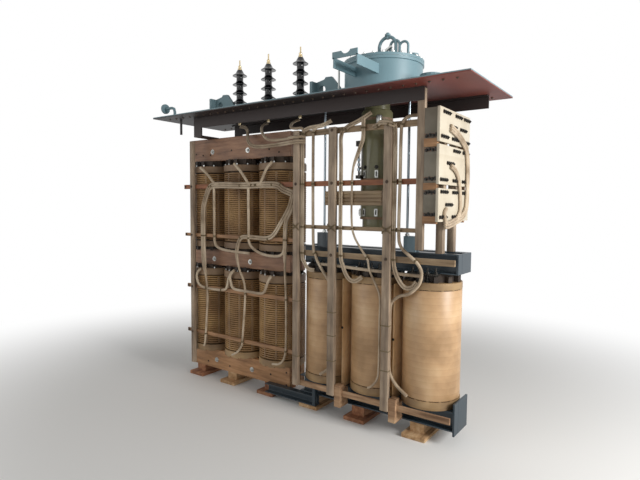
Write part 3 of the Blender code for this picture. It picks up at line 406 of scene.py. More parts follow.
def paper(name, swatches, roughness, spacing, strength, ridge):
    dark, plain, light = swatches
    finish, tree, shader, place = new_finish(name, plain, roughness)
    cloud = add(tree, "ShaderNodeTexNoise", {"Vector": place, "Scale": 4.0, "Detail": 5.0})
    stain = add(tree, "ShaderNodeValToRGB", {"Fac": cloud}, stops=[(0.34, dark), (0.52, plain), (0.70, light)])
    bands = add(tree, "ShaderNodeTexWave", {"Vector": place, "Scale": wave_scale(spacing), "Distortion": 0.25},
                bands_direction="Z", wave_profile="SAW")
    line = add(tree, "ShaderNodeValToRGB", {"Fac": bands.outputs["Fac"]},
               stops=[(0.0, "#FFFFFF"), (0.92, "#F4EEE6"), (1.0, "#CFC0AC")])
    colour = add(tree, "ShaderNodeMix", {0: strength, 6: stain, 7: line}, data_type="RGBA",
                 blend_type="MULTIPLY")
    fibre = add(tree, "ShaderNodeTexNoise", {"Vector": place, "Scale": 240.0})
    bump = add(tree, "ShaderNodeBump", {"Strength": ridge, "Distance": 0.001, "Height": fibre})
    feed(tree, shader, {"Base Color": colour.outputs[2], "Normal": bump})
    return finish


# Kraft paper wrap: smooth, warm tan, a soft sheen from the oil
kraft = paper("oiled kraft paper wrap", ("#A4835E", "#C29E76", "#D6B78F"), 0.42, KRAFT_TURN, 0.45, 0.15)
# Paper over flat conductors, browner and duller
coil_paper = paper("paper-covered conductor", ("#755735", "#98754B", "#B79463"), 0.6, 0.018, 0.3, 0.25)
# Pressboard end rings: smooth and pinkish tan, the darker copy, as painted shade on the left coils' rings
end_board = paper("pressboard end ring", ("#6F5740", "#866D53", "#9B8267"), 0.55, 0.09, 0.3, 0.1)
# A paler copy of the ring pressboard, as painted light, for the rings that catch the light
lit_pale_board = paper("pressboard ring paler as painted light", ("#7D6447", "#A3865F", "#BDA07B"), 0.5, 0.09, 0.3, 0.1)
# Thick pressboard sheet between the windings
barrier_board = paper("pressboard sheet", ("#BC966A", "#D8B487", "#E6C8A0"), 0.6, 0.5, 0.2, 0.1)
# Hard white pressboard of the terminal boards
white_board = paper("hard white pressboard", ("#BDB29D", "#C7BDA9", "#CEC5B3"), 0.45, 0.5, 0.2, 0.08)
# The side wall's board is the same pressboard painted grey, as painted shade on the face turned from the daylight
shaded_side_board = paper("pressboard greyed as painted shade", ("#665F50", "#7E7768", "#8F8879"), 0.5, 0.5, 0.2, 0.1)
# Painted shade: pressboard made dark where it stands in shadow, in ducts, slits, between discs and under the
# clamps
painted_shade_board = paper("pressboard dark as painted shade", ("#1E1610", "#2E2218", "#3F3021"), 0.7, 0.5, 0.2, 0.1)
# Resin laminate tube of the tap changer: olive, glossy
olive_tube = paper("olive glass-resin laminate", ("#63614A", "#7A785A", "#8A8868"), 0.30, 0.03, 0.25, 0.05)
print("finishes so far:", len(bpy.data.materials))

# %% [markdown]
# ## Crepe paper and cord
#
# Leads wear crepe paper, which stretches round a bend, and its fine cross wrinkles catch the light. The
# wrinkles follow the lead, so they need a UV map that runs along it. Cotton cord ties the leads down.

# %% Crepe paper on the leads, and their cord
CREPE_PITCH = 0.004

crepe, tree, shader, place = new_finish("crepe paper lead wrap", "#B09D7F", 0.7)
lead_map = add(tree, "ShaderNodeUVMap", uv_map="lead")
wrinkle = add(tree, "ShaderNodeTexWave",
              {"Vector": lead_map, "Scale": wave_scale(CREPE_PITCH), "Distortion": 2.0, "Detail Scale": 3.0},
              bands_direction="Y")
stain = add(tree, "ShaderNodeTexNoise", {"Vector": place, "Scale": 7.0, "Detail": 4.0})
colour = add(tree, "ShaderNodeValToRGB", {"Fac": stain},
             stops=[(0.32, "#8C7860"), (0.52, "#B3A087"), (0.72, "#CCBBA2")])
bump = add(tree, "ShaderNodeBump", {"Strength": 0.3, "Distance": 0.001, "Height": wrinkle.outputs["Fac"]})
feed(tree, shader, {"Base Color": colour, "Normal": bump, "Sheen Weight": 0.15})
cotton = mottled("oiled cotton cord", ("#4E4230", "#75644A", "#8A7859"), 0.85, 0.0, 300.0, (0.3, 0.7))
print("crepe pitch", CREPE_PITCH * 1000, "mm")

# %% [markdown]
# ## Finishes for the CAD solids
#
# Solids whose shape is right as they are keep their mesh and only change material. The rest is
# rebuilt further down, and each new piece then hides the solid that it stands for.

# %% Give each solid its finish
SOLID_FINISHES = {
    "cover_plate": cover_coat, "front_beam": oxide, "rear_beam": oxide,
    "left_core": core_varnish, "right_core": core_varnish,
    "phase_barrier_1": barrier_board, "phase_barrier_2": barrier_board,
}
for name, finish in SOLID_FINISHES.items():
    mesh = nodes[name].data
    mesh.materials.clear()
    mesh.materials.append(finish)
print("solids that keep their mesh:", len(SOLID_FINISHES))

# %% [markdown]
# ## Bars with softened edges
#
# Boards, clamps and steel channels are plain bars, yet no real edge is perfectly sharp: a narrow
# bevel catches a line of light along it. Each bar is a merged copy of its solid with a Bevel modifier.

# %% Making a softened copy
MERGE_DISTANCE = 0.00002
FLAT_ANGLE = math.radians(1)


def freeze(piece):
    # What the modifiers make becomes the piece's own mesh
    evaluated = piece.evaluated_get(bpy.context.evaluated_depsgraph_get())
    piece.data = bpy.data.meshes.new_from_object(evaluated)
    piece.modifiers.clear()


def soften(piece, width):
    bevel = piece.modifiers.new("edge", "BEVEL")
    bevel.width = width
    bevel.segments = 2
    bevel.limit_method = "ANGLE"
    freeze(piece)


def enter(piece, replaced=()):
    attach(piece, "root")
    if replaced:
        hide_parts(*replaced)


def softened(node, finish, width):
    mesh = nodes[node].data.copy()
    shape = bmesh.new()
    shape.from_mesh(mesh)
    bmesh.ops.remove_doubles(shape, verts=shape.verts, dist=MERGE_DISTANCE)
    bmesh.ops.dissolve_limit(shape, angle_limit=FLAT_ANGLE, verts=shape.verts, edges=shape.edges)
    shape.to_mesh(mesh)
    shape.free()
    piece = new_object(node + "_dressed", mesh)
    soften(piece, width)
    piece.data.materials.clear()
    piece.data.materials.append(finish)
    enter(piece, (node,))


print("merging points within", MERGE_DISTANCE * 1000, "mm")

# %% [markdown]
# ## The bars
#
# Sawn and planed wood has a rounder edge than folded steel, so it gets a wider bevel. Posts and rails are
# beech, the clamps are pressed laminated wood, and the packing is whatever sawn wood was at hand.

# %% Softened copies of all bars
WOOD_EDGE = 0.003
STEEL_EDGE = 0.002
POSTS = ("left_post", "middle_post", "inner_post", "outer_post", "board_post")
RAIL_FINISHES = {
    "lower_left_rail": warm_rail, "coil_rail": warm_rail, "clamp_rail": warm_rail, "long_rail": orange_rail,
    "top_rail": rail_beech, "barrel_rail": rail_beech, "channel_rail": rail_beech, "bottom_rail": sawn_rail,
    "strip_pack": rail_beech,
}
CLAMP_FINISHES = {"lower": pale_clamp, "middle": pressed_wood, "upper": pressed_wood}

for post in POSTS:
    softened(post, post_beech, WOOD_EDGE)
for rail, finish in RAIL_FINISHES.items():
    softened(rail, finish, WOOD_EDGE)
for level, finish in CLAMP_FINISHES.items():
    for side in ("front", "rear"):
        softened(f"{level}_{side}_clamp", finish, WOOD_EDGE)
for number in range(1, 7):
    softened(f"packing_block_{number}", sawn_block if number % 2 else packing_plank, WOOD_EDGE)
for level in ("lower", "upper"):
    for side in ("front", "rear"):
        softened(f"{level}_{side}_channel", blue_grey, STEEL_EDGE)
softened("base_skid", blue_grey, STEEL_EDGE)

# %% [markdown]
# ## Shapes: turned and boxed
#
# Bushings, rings and rods are round, and plates and blocks are square. A turned shape spins a profile
# round an upright axis, a tube is the plainest profile, and a bar is a box between two corners. All add
# to one open mesh, so a piece with several finishes stays one piece.

# %% Turned shapes, tubes and bars
def turn(shape, profile, centre, steps=64, finish=0):
    # A ring where the profile stays off the axis, closed at both ends where it starts and ends on it
    rings = []
    for radius, height in profile:
        count = steps if radius > 0 else 1
        rings.append([shape.verts.new((centre[0] + radius * math.cos(2 * math.pi * step / count),
                                       centre[1] + radius * math.sin(2 * math.pi * step / count), height))
                      for step in range(count)])
    pairs = list(zip(rings, rings[1:]))
    if profile[0][0] > 0:
        pairs.append((rings[-1], rings[0]))
    made = []
    for low, high in pairs:
        for step in range(steps):
            after = (step + 1) % steps
            corners = [low[step % len(low)], low[after % len(low)],
                       high[after % len(high)], high[step % len(high)]]
            corners = [corner for place, corner in enumerate(corners) if corner not in corners[:place]]
            made.append(shape.faces.new(corners))
            made[-1].material_index = finish
    bmesh.ops.recalc_face_normals(shape, faces=made)


def tube(shape, centre, radii, heights, steps=64, finish=0):
    # Radii and heights are pairs: inner and outer, low and high
    (inner, outer), (low, high) = radii, heights
    turn(shape, [(inner, low), (outer, low), (outer, high), (inner, high)], centre, steps, finish)


def bar(shape, low, high, finish=0):
    grown = bmesh.ops.create_cube(shape, size=1.0)["verts"]
    for corner in grown:
        corner.co = Vector([low[i] if corner.co[i] < 0 else high[i] for i in range(3)])
    for face in {face for corner in grown for face in corner.link_faces}:
        face.material_index = finish


test = bmesh.new()
tube(test, (0, 0), (0, 1), (0, 1), 8)
print("a tube of 8 steps has", len(test.faces), "faces")
test.free()

# %% [markdown]
# ## Shapes: routes and pipes
#
# A lead or a bent pipe is a round section that follows a route. A Catmull-Rom curve makes a smooth route
# through a few points, and it passes through every one of them, so a lead meets its solid's route.

# %% Smooth routes and pipes
def smooth_route(points, steps):
    ends = [2 * points[0] - points[1]] + points + [2 * points[-1] - points[-2]]
    route = []
    for place in range(1, len(ends) - 2):
        before, start, end, after = ends[place - 1:place + 3]
        for step in range(steps):
            t = step / steps
            route.append(0.5 * (2 * start + (end - before) * t
                                + (2 * before - 5 * start + 4 * end - after) * t ** 2
                                + (3 * start - before - 3 * end + after) * t ** 3))
    return route + [points[-1]]


def pipe(shape, route, radius, sides=12, finish=0):
    # The UV map holds the share of the way round and the distance along the pipe in metres
    layer = shape.loops.layers.uv.get("lead") or shape.loops.layers.uv.new("lead")
    rings = []
    lengths = [0.0]
    side = None
    for place, centre in enumerate(route):
        ahead = (route[min(place + 1, len(route) - 1)] - route[max(place - 1, 0)]).normalized()
        side = ahead.orthogonal() if side is None else side - ahead * side.dot(ahead)
        side.normalize()
        up = ahead.cross(side)
        rings.append([shape.verts.new(centre + radius * (side * math.cos(2 * math.pi * step / sides)
                                                         + up * math.sin(2 * math.pi * step / sides)))
                      for step in range(sides)])
        if place:
            lengths.append(lengths[-1] + (centre - route[place - 1]).length)
    made = []
    for place, (low, high) in enumerate(zip(rings, rings[1:])):
        for step in range(sides):
            after = (step + 1) % sides
            face = shape.faces.new((low[step], low[after], high[after], high[step]))
            spots = ((step, place), (step + 1, place), (step + 1, place + 1), (step, place + 1))
            for loop, (around, along) in zip(face.loops, spots):
                loop[layer].uv = (around / sides, lengths[along])
            made.append(face)
    made += [shape.faces.new(rings[0]), shape.faces.new(rings[-1])]
    for face in made:
        face.material_index = finish
    bmesh.ops.recalc_face_normals(shape, faces=made)
    return lengths[-1]


test = bmesh.new()
print("a pipe from 0 to 1 m measures", pipe(test, [Vector((0, 0, 0)), Vector((0, 0, 1))], 0.01), "m")
test.free()

# %% [markdown]
# ## From a shape to a piece
#
# An open mesh becomes a piece in one step: it gets its finishes, a bevel where asked, and smooth shading
# that breaks at every edge sharper than the crease angle, so turned metal shines and corners stay crisp.
# A piece that is only boxes, of one finish, takes a single call.

# %% Settling a shape as a piece
def settle(name, shape, finishes, replaced=(), edge=0.0, crease=35):
    mesh = bpy.data.meshes.new(name)
    shape.to_mesh(mesh)
    shape.free()
    for finish in finishes:
        mesh.materials.append(finish)
    piece = new_object(name, mesh)
    if edge:
        soften(piece, edge)
    piece.data.shade_smooth()
    piece.data.set_sharp_from_angle(angle=math.radians(crease))
    enter(piece, replaced)
    print(name, len(piece.data.polygons), "faces")


def boxes(name, corners, finish, replaced=(), edge=0.0):
    shape = bmesh.new()
    for low, high in corners:
        bar(shape, low, high)
    settle(name, shape, (finish,), replaced, edge)


# %% [markdown]
# ## Geometry Nodes: grown pieces
#
# Much of this object is one small thing many times over: discs, spacers, nuts, lashings. Each kind is a
# Geometry Nodes tree with named inputs for its sizes. A seed mesh says where and which way, the tree
# puts its part there, and the result is turned into a plain mesh.

# %% Opening and closing a tree
def new_tree(name, sockets):
    tree = bpy.data.node_groups.new(name, "GeometryNodeTree")
    tree.interface.new_socket("Seeds", in_out="INPUT", socket_type="NodeSocketGeometry")
    for label, kind in sockets.items():
        tree.interface.new_socket(label, in_out="INPUT", socket_type="NodeSocket" + kind)
    tree.interface.new_socket("Grown", in_out="OUTPUT", socket_type="NodeSocketGeometry")
    return tree, add(tree, "NodeGroupInput").outputs


def close_tree(tree, part):
    add(tree, "NodeGroupOutput", {"Grown": part})
    return tree


def in_a_ring(tree, part, count, radius):
    # The part on a circle's points, its X axis outward
    around = add(tree, "GeometryNodeMeshCircle", {"Vertices": count, "Radius": radius})
    spot = add(tree, "GeometryNodeInputPosition")
    outward = add(tree, "FunctionNodeAlignRotationToVector", {"Vector": spot}, axis="X")
    return add(tree, "GeometryNodeInstanceOnPoints", {"Points": around, "Instance": part, "Rotation": outward})


def on_seeds(tree, given, part):
    # The part on every seed, its Z axis the way that the seed says
    way = add(tree, "GeometryNodeInputNamedAttribute", {"Name": "facing"}, data_type="FLOAT_VECTOR")
    turned = add(tree, "FunctionNodeAlignRotationToVector", {"Vector": way}, axis="Z")
    placed = add(tree, "GeometryNodeInstanceOnPoints",
                 {"Points": given["Seeds"], "Instance": part, "Rotation": turned})
    return add(tree, "GeometryNodeRealizeInstances", {0: placed})


print("materials that a tree can set:", len(bpy.data.materials))

# %% [markdown]
# ## Growing a piece
#
# The same tree serves many pieces, so growing one only takes seeds and sizes. A seed is a point and the way
# that it faces, kept as an attribute of the seed mesh. Each size goes to the socket of that name.

# %% Growing a piece from seed points
def upright(points):
    return [(point, (0, 0, 1)) for point in points]


def ways_round(count, start):
    angles = [start + 2 * math.pi * number / count for number in range(count)]
    return [Vector((math.cos(angle), math.sin(angle), 0)) for angle in angles]


def grow(name, tree, seeds, values, replaced=()):
    mesh = bpy.data.meshes.new(name)
    mesh.from_pydata([point for point, way in seeds], [], [])
    facing = mesh.attributes.new("facing", "FLOAT_VECTOR", "POINT")
    for spot, (point, way) in zip(facing.data, seeds):
        spot.vector = way
    piece = new_object(name, mesh)
    step = piece.modifiers.new("grow", "NODES")
    step.node_group = tree
    for item in tree.interface.items_tree:
        if item.in_out == "INPUT" and item.name in values:
            step[item.identifier] = values[item.name]
    freeze(piece)
    enter(piece, replaced)
    print(name, len(seeds), "seeds,", len(piece.data.polygons), "faces")


print("four ways round:", [tuple(round(v, 3) for v in way[:2]) for way in ways_round(4, 0)])

# %% [markdown]
# ## Disc coils
#
# Each leg of the left core carries two coils of paper-covered flat conductor, wound as a pile of discs
# with oil ducts between them. Columns of pressboard spacers keep the ducts open, and their pale ends
# show as dots. One rounded ring, one spacer and two counts are the whole rule, which suits a tree well.

# %% The disc coil tree: discs
DISC_GAP = 0.0045
DISC_DEPTH = 0.032
DISC_ROUNDING = 0.0045

tree, given = new_tree("disc coil", {
    "Radius": "Float", "Pitch": "Float", "Count": "Int", "Columns": "Int",
    "Disc": "Material", "Spacer": "Material"})
middle = add(tree, "ShaderNodeMath", {0: given["Radius"], 1: DISC_DEPTH / 2}, operation="SUBTRACT")
height = add(tree, "ShaderNodeMath", {0: given["Pitch"], 1: DISC_GAP}, operation="SUBTRACT")
circle = add(tree, "GeometryNodeCurvePrimitiveCircle", {"Resolution": 48, "Radius": middle})
section = add(tree, "GeometryNodeCurvePrimitiveQuadrilateral", {"Width": DISC_DEPTH, "Height": height})
rounded = add(tree, "GeometryNodeFilletCurve", {"Curve": section, "Radius": DISC_ROUNDING, "Count": 2},
              mode="POLY")
disc = add(tree, "GeometryNodeCurveToMesh", {"Curve": circle, "Profile Curve": rounded})
disc = add(tree, "GeometryNodeSetMaterial", {"Geometry": disc, "Material": given["Disc"]})
rise = add(tree, "ShaderNodeCombineXYZ", {"Z": given["Pitch"]})
half = add(tree, "ShaderNodeVectorMath", {0: rise, "Scale": 0.5}, operation="SCALE")
levels = add(tree, "GeometryNodeMeshLine", {"Count": given["Count"], "Start Location": half, "Offset": rise})
pile = add(tree, "GeometryNodeInstanceOnPoints", {"Points": levels, "Instance": disc})
print("disc depth", DISC_DEPTH * 1000, "mm")

# %% [markdown]
# ## Spacers between the discs
#
# A spacer is a small block that stands out a little from the duct. One column of them is a line of blocks, and a
# ring of columns is the rest. Discs wound by hand never lie dead level, so at the end a slow noise moves all of
# it up and down by a few millimetres.

# %% The disc coil tree: spacers
SPACER_WIDTH = 0.018
SPACER_DEPTH = DISC_DEPTH + 0.004
WAVER = 0.006
WAVER_SCALE = 9.0

spacer_height = add(tree, "ShaderNodeMath", {0: given["Pitch"], 1: 0.5}, operation="MULTIPLY")
size = add(tree, "ShaderNodeCombineXYZ", {"X": SPACER_DEPTH, "Y": SPACER_WIDTH, "Z": spacer_height})
spacer = add(tree, "GeometryNodeMeshCube", {"Size": size})
spacer = add(tree, "GeometryNodeSetMaterial", {"Geometry": spacer, "Material": given["Spacer"]})
ducts = add(tree, "ShaderNodeMath", {0: given["Count"], 1: 1.0}, operation="SUBTRACT")
column = add(tree, "GeometryNodeMeshLine", {"Count": ducts, "Start Location": rise, "Offset": rise})
column = add(tree, "GeometryNodeInstanceOnPoints", {"Points": column, "Instance": spacer})
columns = in_a_ring(tree, column, given["Columns"], middle)
whole = add(tree, "GeometryNodeJoinGeometry", {0: [pile, columns]})
plain = on_seeds(tree, given, whole)
waver = add(tree, "ShaderNodeTexNoise", {"Scale": WAVER_SCALE})
sway = add(tree, "ShaderNodeMapRange", {"Value": waver, "To Min": -WAVER, "To Max": WAVER})
sway = add(tree, "ShaderNodeCombineXYZ", {"Z": sway})
hand_laid = add(tree, "GeometryNodeSetPosition", {"Geometry": plain, "Offset": sway})
coil_tree = close_tree(tree, hand_laid)
print("disc coil tree:", len(tree.nodes), "nodes")

# %% [markdown]
# ## The six coils
#
# Three legs carry a lower and an upper coil each. All have the same discs, and only their heights differ, so
# the pitch follows from where a coil starts and ends.

# %% Six disc coils
COIL_RADIUS = 0.202
COIL_X = (-1.1605, -0.7305, -0.3005)
COIL_LEVELS = {"lower": (0.342, 0.992), "upper": (1.330, 1.946)}
DISCS = 35
SPACER_COLUMNS = 11

for row, (low, high) in COIL_LEVELS.items():
    for number, x in enumerate(COIL_X, 1):
        sizes = {"Radius": COIL_RADIUS, "Pitch": (high - low) / DISCS, "Count": DISCS,
                 "Columns": SPACER_COLUMNS, "Disc": coil_paper, "Spacer": end_board}
        grow(f"{row}_coil_{number}_discs", coil_tree, upright([(x, 0, low)]), sizes,
             (f"{row}_coil_{number}",))

# %% [markdown]
# ## Rings of blocks
#
# Pressure blocks, tabs, stud heads and fittings all stand in a circle. One tree sets any block in a ring,
# with a count, a radius and a starting angle, so it serves for all of them.

# %% The ring-of-blocks tree
tree, given = new_tree("ring of blocks", {
    "Count": "Int", "Radius": "Float", "Size": "Vector", "Start": "Float", "Finish": "Material"})
block = add(tree, "GeometryNodeMeshCube", {"Size": given["Size"]})
block = add(tree, "GeometryNodeSetMaterial", {"Geometry": block, "Material": given["Finish"]})
ring = in_a_ring(tree, block, given["Count"], given["Radius"])
twist = add(tree, "ShaderNodeCombineXYZ", {"Z": given["Start"]})
ring = add(tree, "GeometryNodeTransform", {"Geometry": ring, "Rotation": twist})
block_tree = close_tree(tree, on_seeds(tree, given, ring))
print("ring-of-blocks tree:", len(tree.nodes), "nodes")

# %% [markdown]
# ## Coil ends
#
# A pressboard ring closes each pile, with a duct before the first disc that is dark board as painted shade.
# Beyond the ring sit small pressure blocks and, under the clamp, the end of the core, dark board as painted
# shade. The rings are turned, with a narrow chamfer, and the lowest ones get the paler ring board, as
# painted light, like those of the right unit.

# %% Rings of the coils, and ducts dark with painted shade
RING_PROUD = 0.004
RING_RADIUS = COIL_RADIUS + RING_PROUD
RING_CHAMFER = 0.003
RING_BORE = 0.115
DUCT_RADIUS = 0.168
CORE_END_RADIUS = 0.155
COIL_ENDS = {"lower": (0.2743, 1.0897), "upper": (1.2383, 2.0647)}
RINGS = {"lower": ((0.282, 0.334), (1.000, 1.062)), "upper": ((1.268, 1.322), (1.955, 2.012))}

for row, ends in COIL_ENDS.items():
    shape = bmesh.new()
    bottom_ring, top_ring = RINGS[row]
    for x in COIL_X:
        # Painted shade: the core's end and the duct inside the rings are dark board
        tube(shape, (x, 0), (RING_BORE, CORE_END_RADIUS), ends, 32, 1)
        tube(shape, (x, 0), (RING_BORE, DUCT_RADIUS), (bottom_ring[0], top_ring[1]), 40, 1)
        # Painted light: the lowest ring gets the paler ring board
        for low, high in RINGS[row]:
            turn(shape, [(RING_BORE, low), (RING_RADIUS - RING_CHAMFER, low), (RING_RADIUS, low + RING_CHAMFER),
                         (RING_RADIUS, high - RING_CHAMFER), (RING_RADIUS - RING_CHAMFER, high),
                         (RING_BORE, high)],
                 (x, 0), 72, 2 if low == RINGS["lower"][0][0] else 0)
    settle(f"{row}_coil_rings", shape, (end_board, painted_shade_board, lit_pale_board))

# %% [markdown]
# ## Blocks and studs at the coil ends
#
# Between clamp and ring, small blocks pass the clamping force on, dark board as painted shade. The lowest
# rings stand on flat pale blocks. On the upper ring of each coil the heads of small studs show as bright dots.

# %% Pressure blocks, foot blocks and stud heads
PRESSURE_LEVELS = (1.075, 1.254, 2.038)
FOOT_LEVEL = 0.279
STUD_LEVELS = [top_ring[1] + 0.006 for bottom_ring, top_ring in RINGS.values()]

pressure_spots = upright([(x, 0, level) for x in COIL_X for level in PRESSURE_LEVELS])
# Painted shade: the pressure blocks under the clamps are dark board
grow("coil_pressure_blocks", block_tree, pressure_spots,
     {"Count": 14, "Radius": 0.176, "Size": (0.024, 0.026, 0.05), "Finish": painted_shade_board})
grow("coil_foot_blocks", block_tree, upright([(x, 0, FOOT_LEVEL) for x in COIL_X]),
     {"Count": 14, "Radius": 0.178, "Size": (0.05, 0.056, 0.008), "Finish": lit_pale_board})
grow("coil_stud_heads", block_tree, upright([(x, 0, level) for x in COIL_X for level in STUD_LEVELS]),
     {"Count": 13, "Radius": 0.193, "Size": (0.010, 0.009, 0.012), "Start": 0.2, "Finish": zinc})

# %% [markdown]
# ## Wrapped windings
#
# The right unit's windings are closed cylinders under kraft paper, each on a thicker pressboard base ring.
# A narrow slit near the top and the bottom shows the inside between tabs of the last turn, dark board as
# painted shade. Base ring and top are the paler ring board, as painted light. A turned shell gives the
# form, and the ring-of-blocks tree bridges each slit with tabs.

# %% Three wrapped windings
WRAP_RADIUS = 0.207
WRAP_X = (0.2235, 0.6595, 1.0955)
WRAP_FOOT = 0.2523
WRAP_SLITS = (0.312, 1.081)
SLIT = 0.005
WRAP_TOP = 1.135
WRAP_HEAD = 1.1947
HEAD_RADIUS = 0.162
# The base ring stands out, the inside, dark as painted shade, stands back, and the paper's edges are rounded by
# this much
BASE_PROUD = 0.003
INSIDE_BACK = 0.008
ROUNDING = 0.003
# Hidden bores, each a little different, so that no two inner walls lie in the same place
BASE_BORE, PAPER_BORE, TOP_BORE = 0.12, 0.13, 0.15

low, high = WRAP_SLITS
base = [(BASE_BORE, WRAP_FOOT), (WRAP_RADIUS + 0.001, WRAP_FOOT), (WRAP_RADIUS + BASE_PROUD, WRAP_FOOT + 0.004),
        (WRAP_RADIUS + BASE_PROUD, low), (BASE_BORE, low)]
wrap = [(PAPER_BORE, low + SLIT), (WRAP_RADIUS - 0.002, low + SLIT), (WRAP_RADIUS, low + SLIT + ROUNDING),
        (WRAP_RADIUS, high - ROUNDING), (WRAP_RADIUS - 0.002, high), (PAPER_BORE, high)]
cap = [(TOP_BORE, high + SLIT), (WRAP_RADIUS, high + SLIT), (WRAP_RADIUS + 0.002, high + SLIT + 0.004),
       (WRAP_RADIUS + 0.001, WRAP_TOP - ROUNDING), (WRAP_RADIUS - ROUNDING, WRAP_TOP), (TOP_BORE, WRAP_TOP)]
for number, x in enumerate(WRAP_X, 1):
    shape = bmesh.new()
    turn(shape, base, (x, 0), 96, 1)
    # Painted shade: the inside behind the slits is dark board
    tube(shape, (x, 0), (BASE_BORE, WRAP_RADIUS - INSIDE_BACK), (low, high + SLIT), 64, 2)
    turn(shape, wrap, (x, 0), 96, 0)
    turn(shape, cap, (x, 0), 96, 1)
    # Painted shade: the winding's head under the clamp is dark board
    tube(shape, (x, 0), (BASE_BORE, HEAD_RADIUS), (WRAP_TOP - 0.01, WRAP_HEAD), 48, 2)
    settle(f"winding_{number}_wrap", shape, (kraft, lit_pale_board, painted_shade_board),
           (f"wrapped_winding_{number}",))

# %% [markdown]
# ## Tabs and blocks of the wrapped windings
#
# Tabs of board keep the slits open, and the blocks above each winding, dark board as painted shade, pass on
# the force of its jack screws.

# %% Slit tabs and pressure blocks
HEAD_BLOCK_LEVEL = 1.156

slit_spots = upright([(x, 0, level + SLIT / 2) for x in WRAP_X for level in WRAP_SLITS])
grow("slit_tabs", block_tree, slit_spots,
     {"Count": 15, "Radius": WRAP_RADIUS - 0.004, "Size": (0.008, 0.016, SLIT + 0.004), "Finish": lit_pale_board})
# Painted shade: the blocks above the windings are dark board
grow("winding_pressure_blocks", block_tree, upright([(x, 0, HEAD_BLOCK_LEVEL) for x in WRAP_X]),
     {"Count": 12, "Radius": 0.180, "Size": (0.03, 0.03, 0.042), "Finish": painted_shade_board})

# %% [markdown]
# ## Leads
#
# Every lead is copper rope in crepe paper. It follows the same route as its CAD solid, but on a smooth
# curve and with a round section. The leads of each side lie in one layer against the rack, and step over or
# behind a post where they cross it.

# %% Depths of the leads
LEAD_RADIUS = 0.0115
LEAD_CLEARANCE = 0.0003
RACK_FACE = -0.255
POST_THICKNESS = 0.035
LEAD_FRONT = RACK_FACE + POST_THICKNESS - LEAD_CLEARANCE - LEAD_RADIUS
LEAD_BACK = RACK_FACE + POST_THICKNESS + LEAD_CLEARANCE + LEAD_RADIUS
LEAD_OVER = RACK_FACE - LEAD_CLEARANCE - LEAD_RADIUS
LEAD_TIE = LEAD_FRONT + LEAD_RADIUS
print("lead depths:", round(LEAD_OVER, 4), round(LEAD_FRONT, 4), round(LEAD_BACK, 4))

# %% [markdown]
# ## Routes on the left side
#
# A route is a row of points, given across and up on the rack. These leads join the left unit's coils.

# %% Points of the left routes
LEFT_LEADS = (
    ((-1.096, 1.999), (-0.998, 1.931), (-0.929, 1.866), (-0.876, 1.833)),
    ((-0.66, 2.016), (-0.574, 1.939), (-0.491, 1.844), (-0.45, 1.824)),
    ((-0.224, 2.013), (-0.288, 1.952), (-0.353, 1.84), (-0.40, 1.824)),
    ((-1.024, 1.724), (-0.969, 1.813), (-0.876, 1.833), (-0.55, 1.824), (-0.201, 1.824), (-0.106, 1.786),
     (-0.004, 1.75)),
    ((-1.024, 1.724), (-1.059, 1.606), (-1.061, 1.333), (-1.051, 1.104), (-1.009, 0.858), (-1.025, 0.593),
     (-1.048, 0.378), (-1.065, 0.336)),
    ((-0.915, 1.815), (-0.912, 1.411), (-0.91, 1.331), (-0.878, 1.279), (-0.773, 1.254), (-0.61, 1.246),
     (-0.479, 1.242)),
    ((-0.49, 1.80), (-0.486, 1.426), (-0.478, 1.334), (-0.421, 1.279), (-0.319, 1.244), (-0.188, 1.236),
     (-0.114, 1.257), (-0.088, 1.322), (-0.079, 1.45)),
    ((-0.004, 1.75), (-0.04, 1.64), (-0.135, 1.502), (-0.209, 1.412), (-0.296, 1.38), (-0.49, 1.384),
     (-0.573, 1.372), (-0.616, 1.31), (-0.629, 1.215), (-0.6, 1.096), (-0.53, 0.922), (-0.563, 0.486),
     (-0.578, 0.411), (-0.629, 0.351), (-0.694, 0.315)),
    ((-0.004, 1.66), (-0.033, 1.598), (-0.073, 1.52), (-0.083, 1.378), (-0.083, 1.14), (-0.070, 0.901),
     (-0.069, 0.531), (-0.086, 0.402), (-0.14, 0.339), (-0.217, 0.323)),
    ((-1.088, 1.064), (-1.139, 1.031), (-1.155, 0.973), (-1.106, 0.903), (-0.967, 0.886), (-0.806, 0.891),
     (-0.753, 0.923), (-0.726, 1.015), (-0.662, 1.082)),
    ((-0.662, 1.082), (-0.713, 1.034), (-0.701, 0.965), (-0.665, 0.916), (-0.494, 0.909), (-0.344, 0.909),
     (-0.299, 0.94), (-0.27, 1.009), (-0.232, 1.066)),
)
print("left routes:", len(LEFT_LEADS), "with", sum(map(len, LEFT_LEADS)), "points")

# %% [markdown]
# ## Routes on the right side
#
# These leads come down from the bushings' feet, run along the top of the rack and go down beside its posts. A
# third number is the depth of a point where it isn't the usual one.

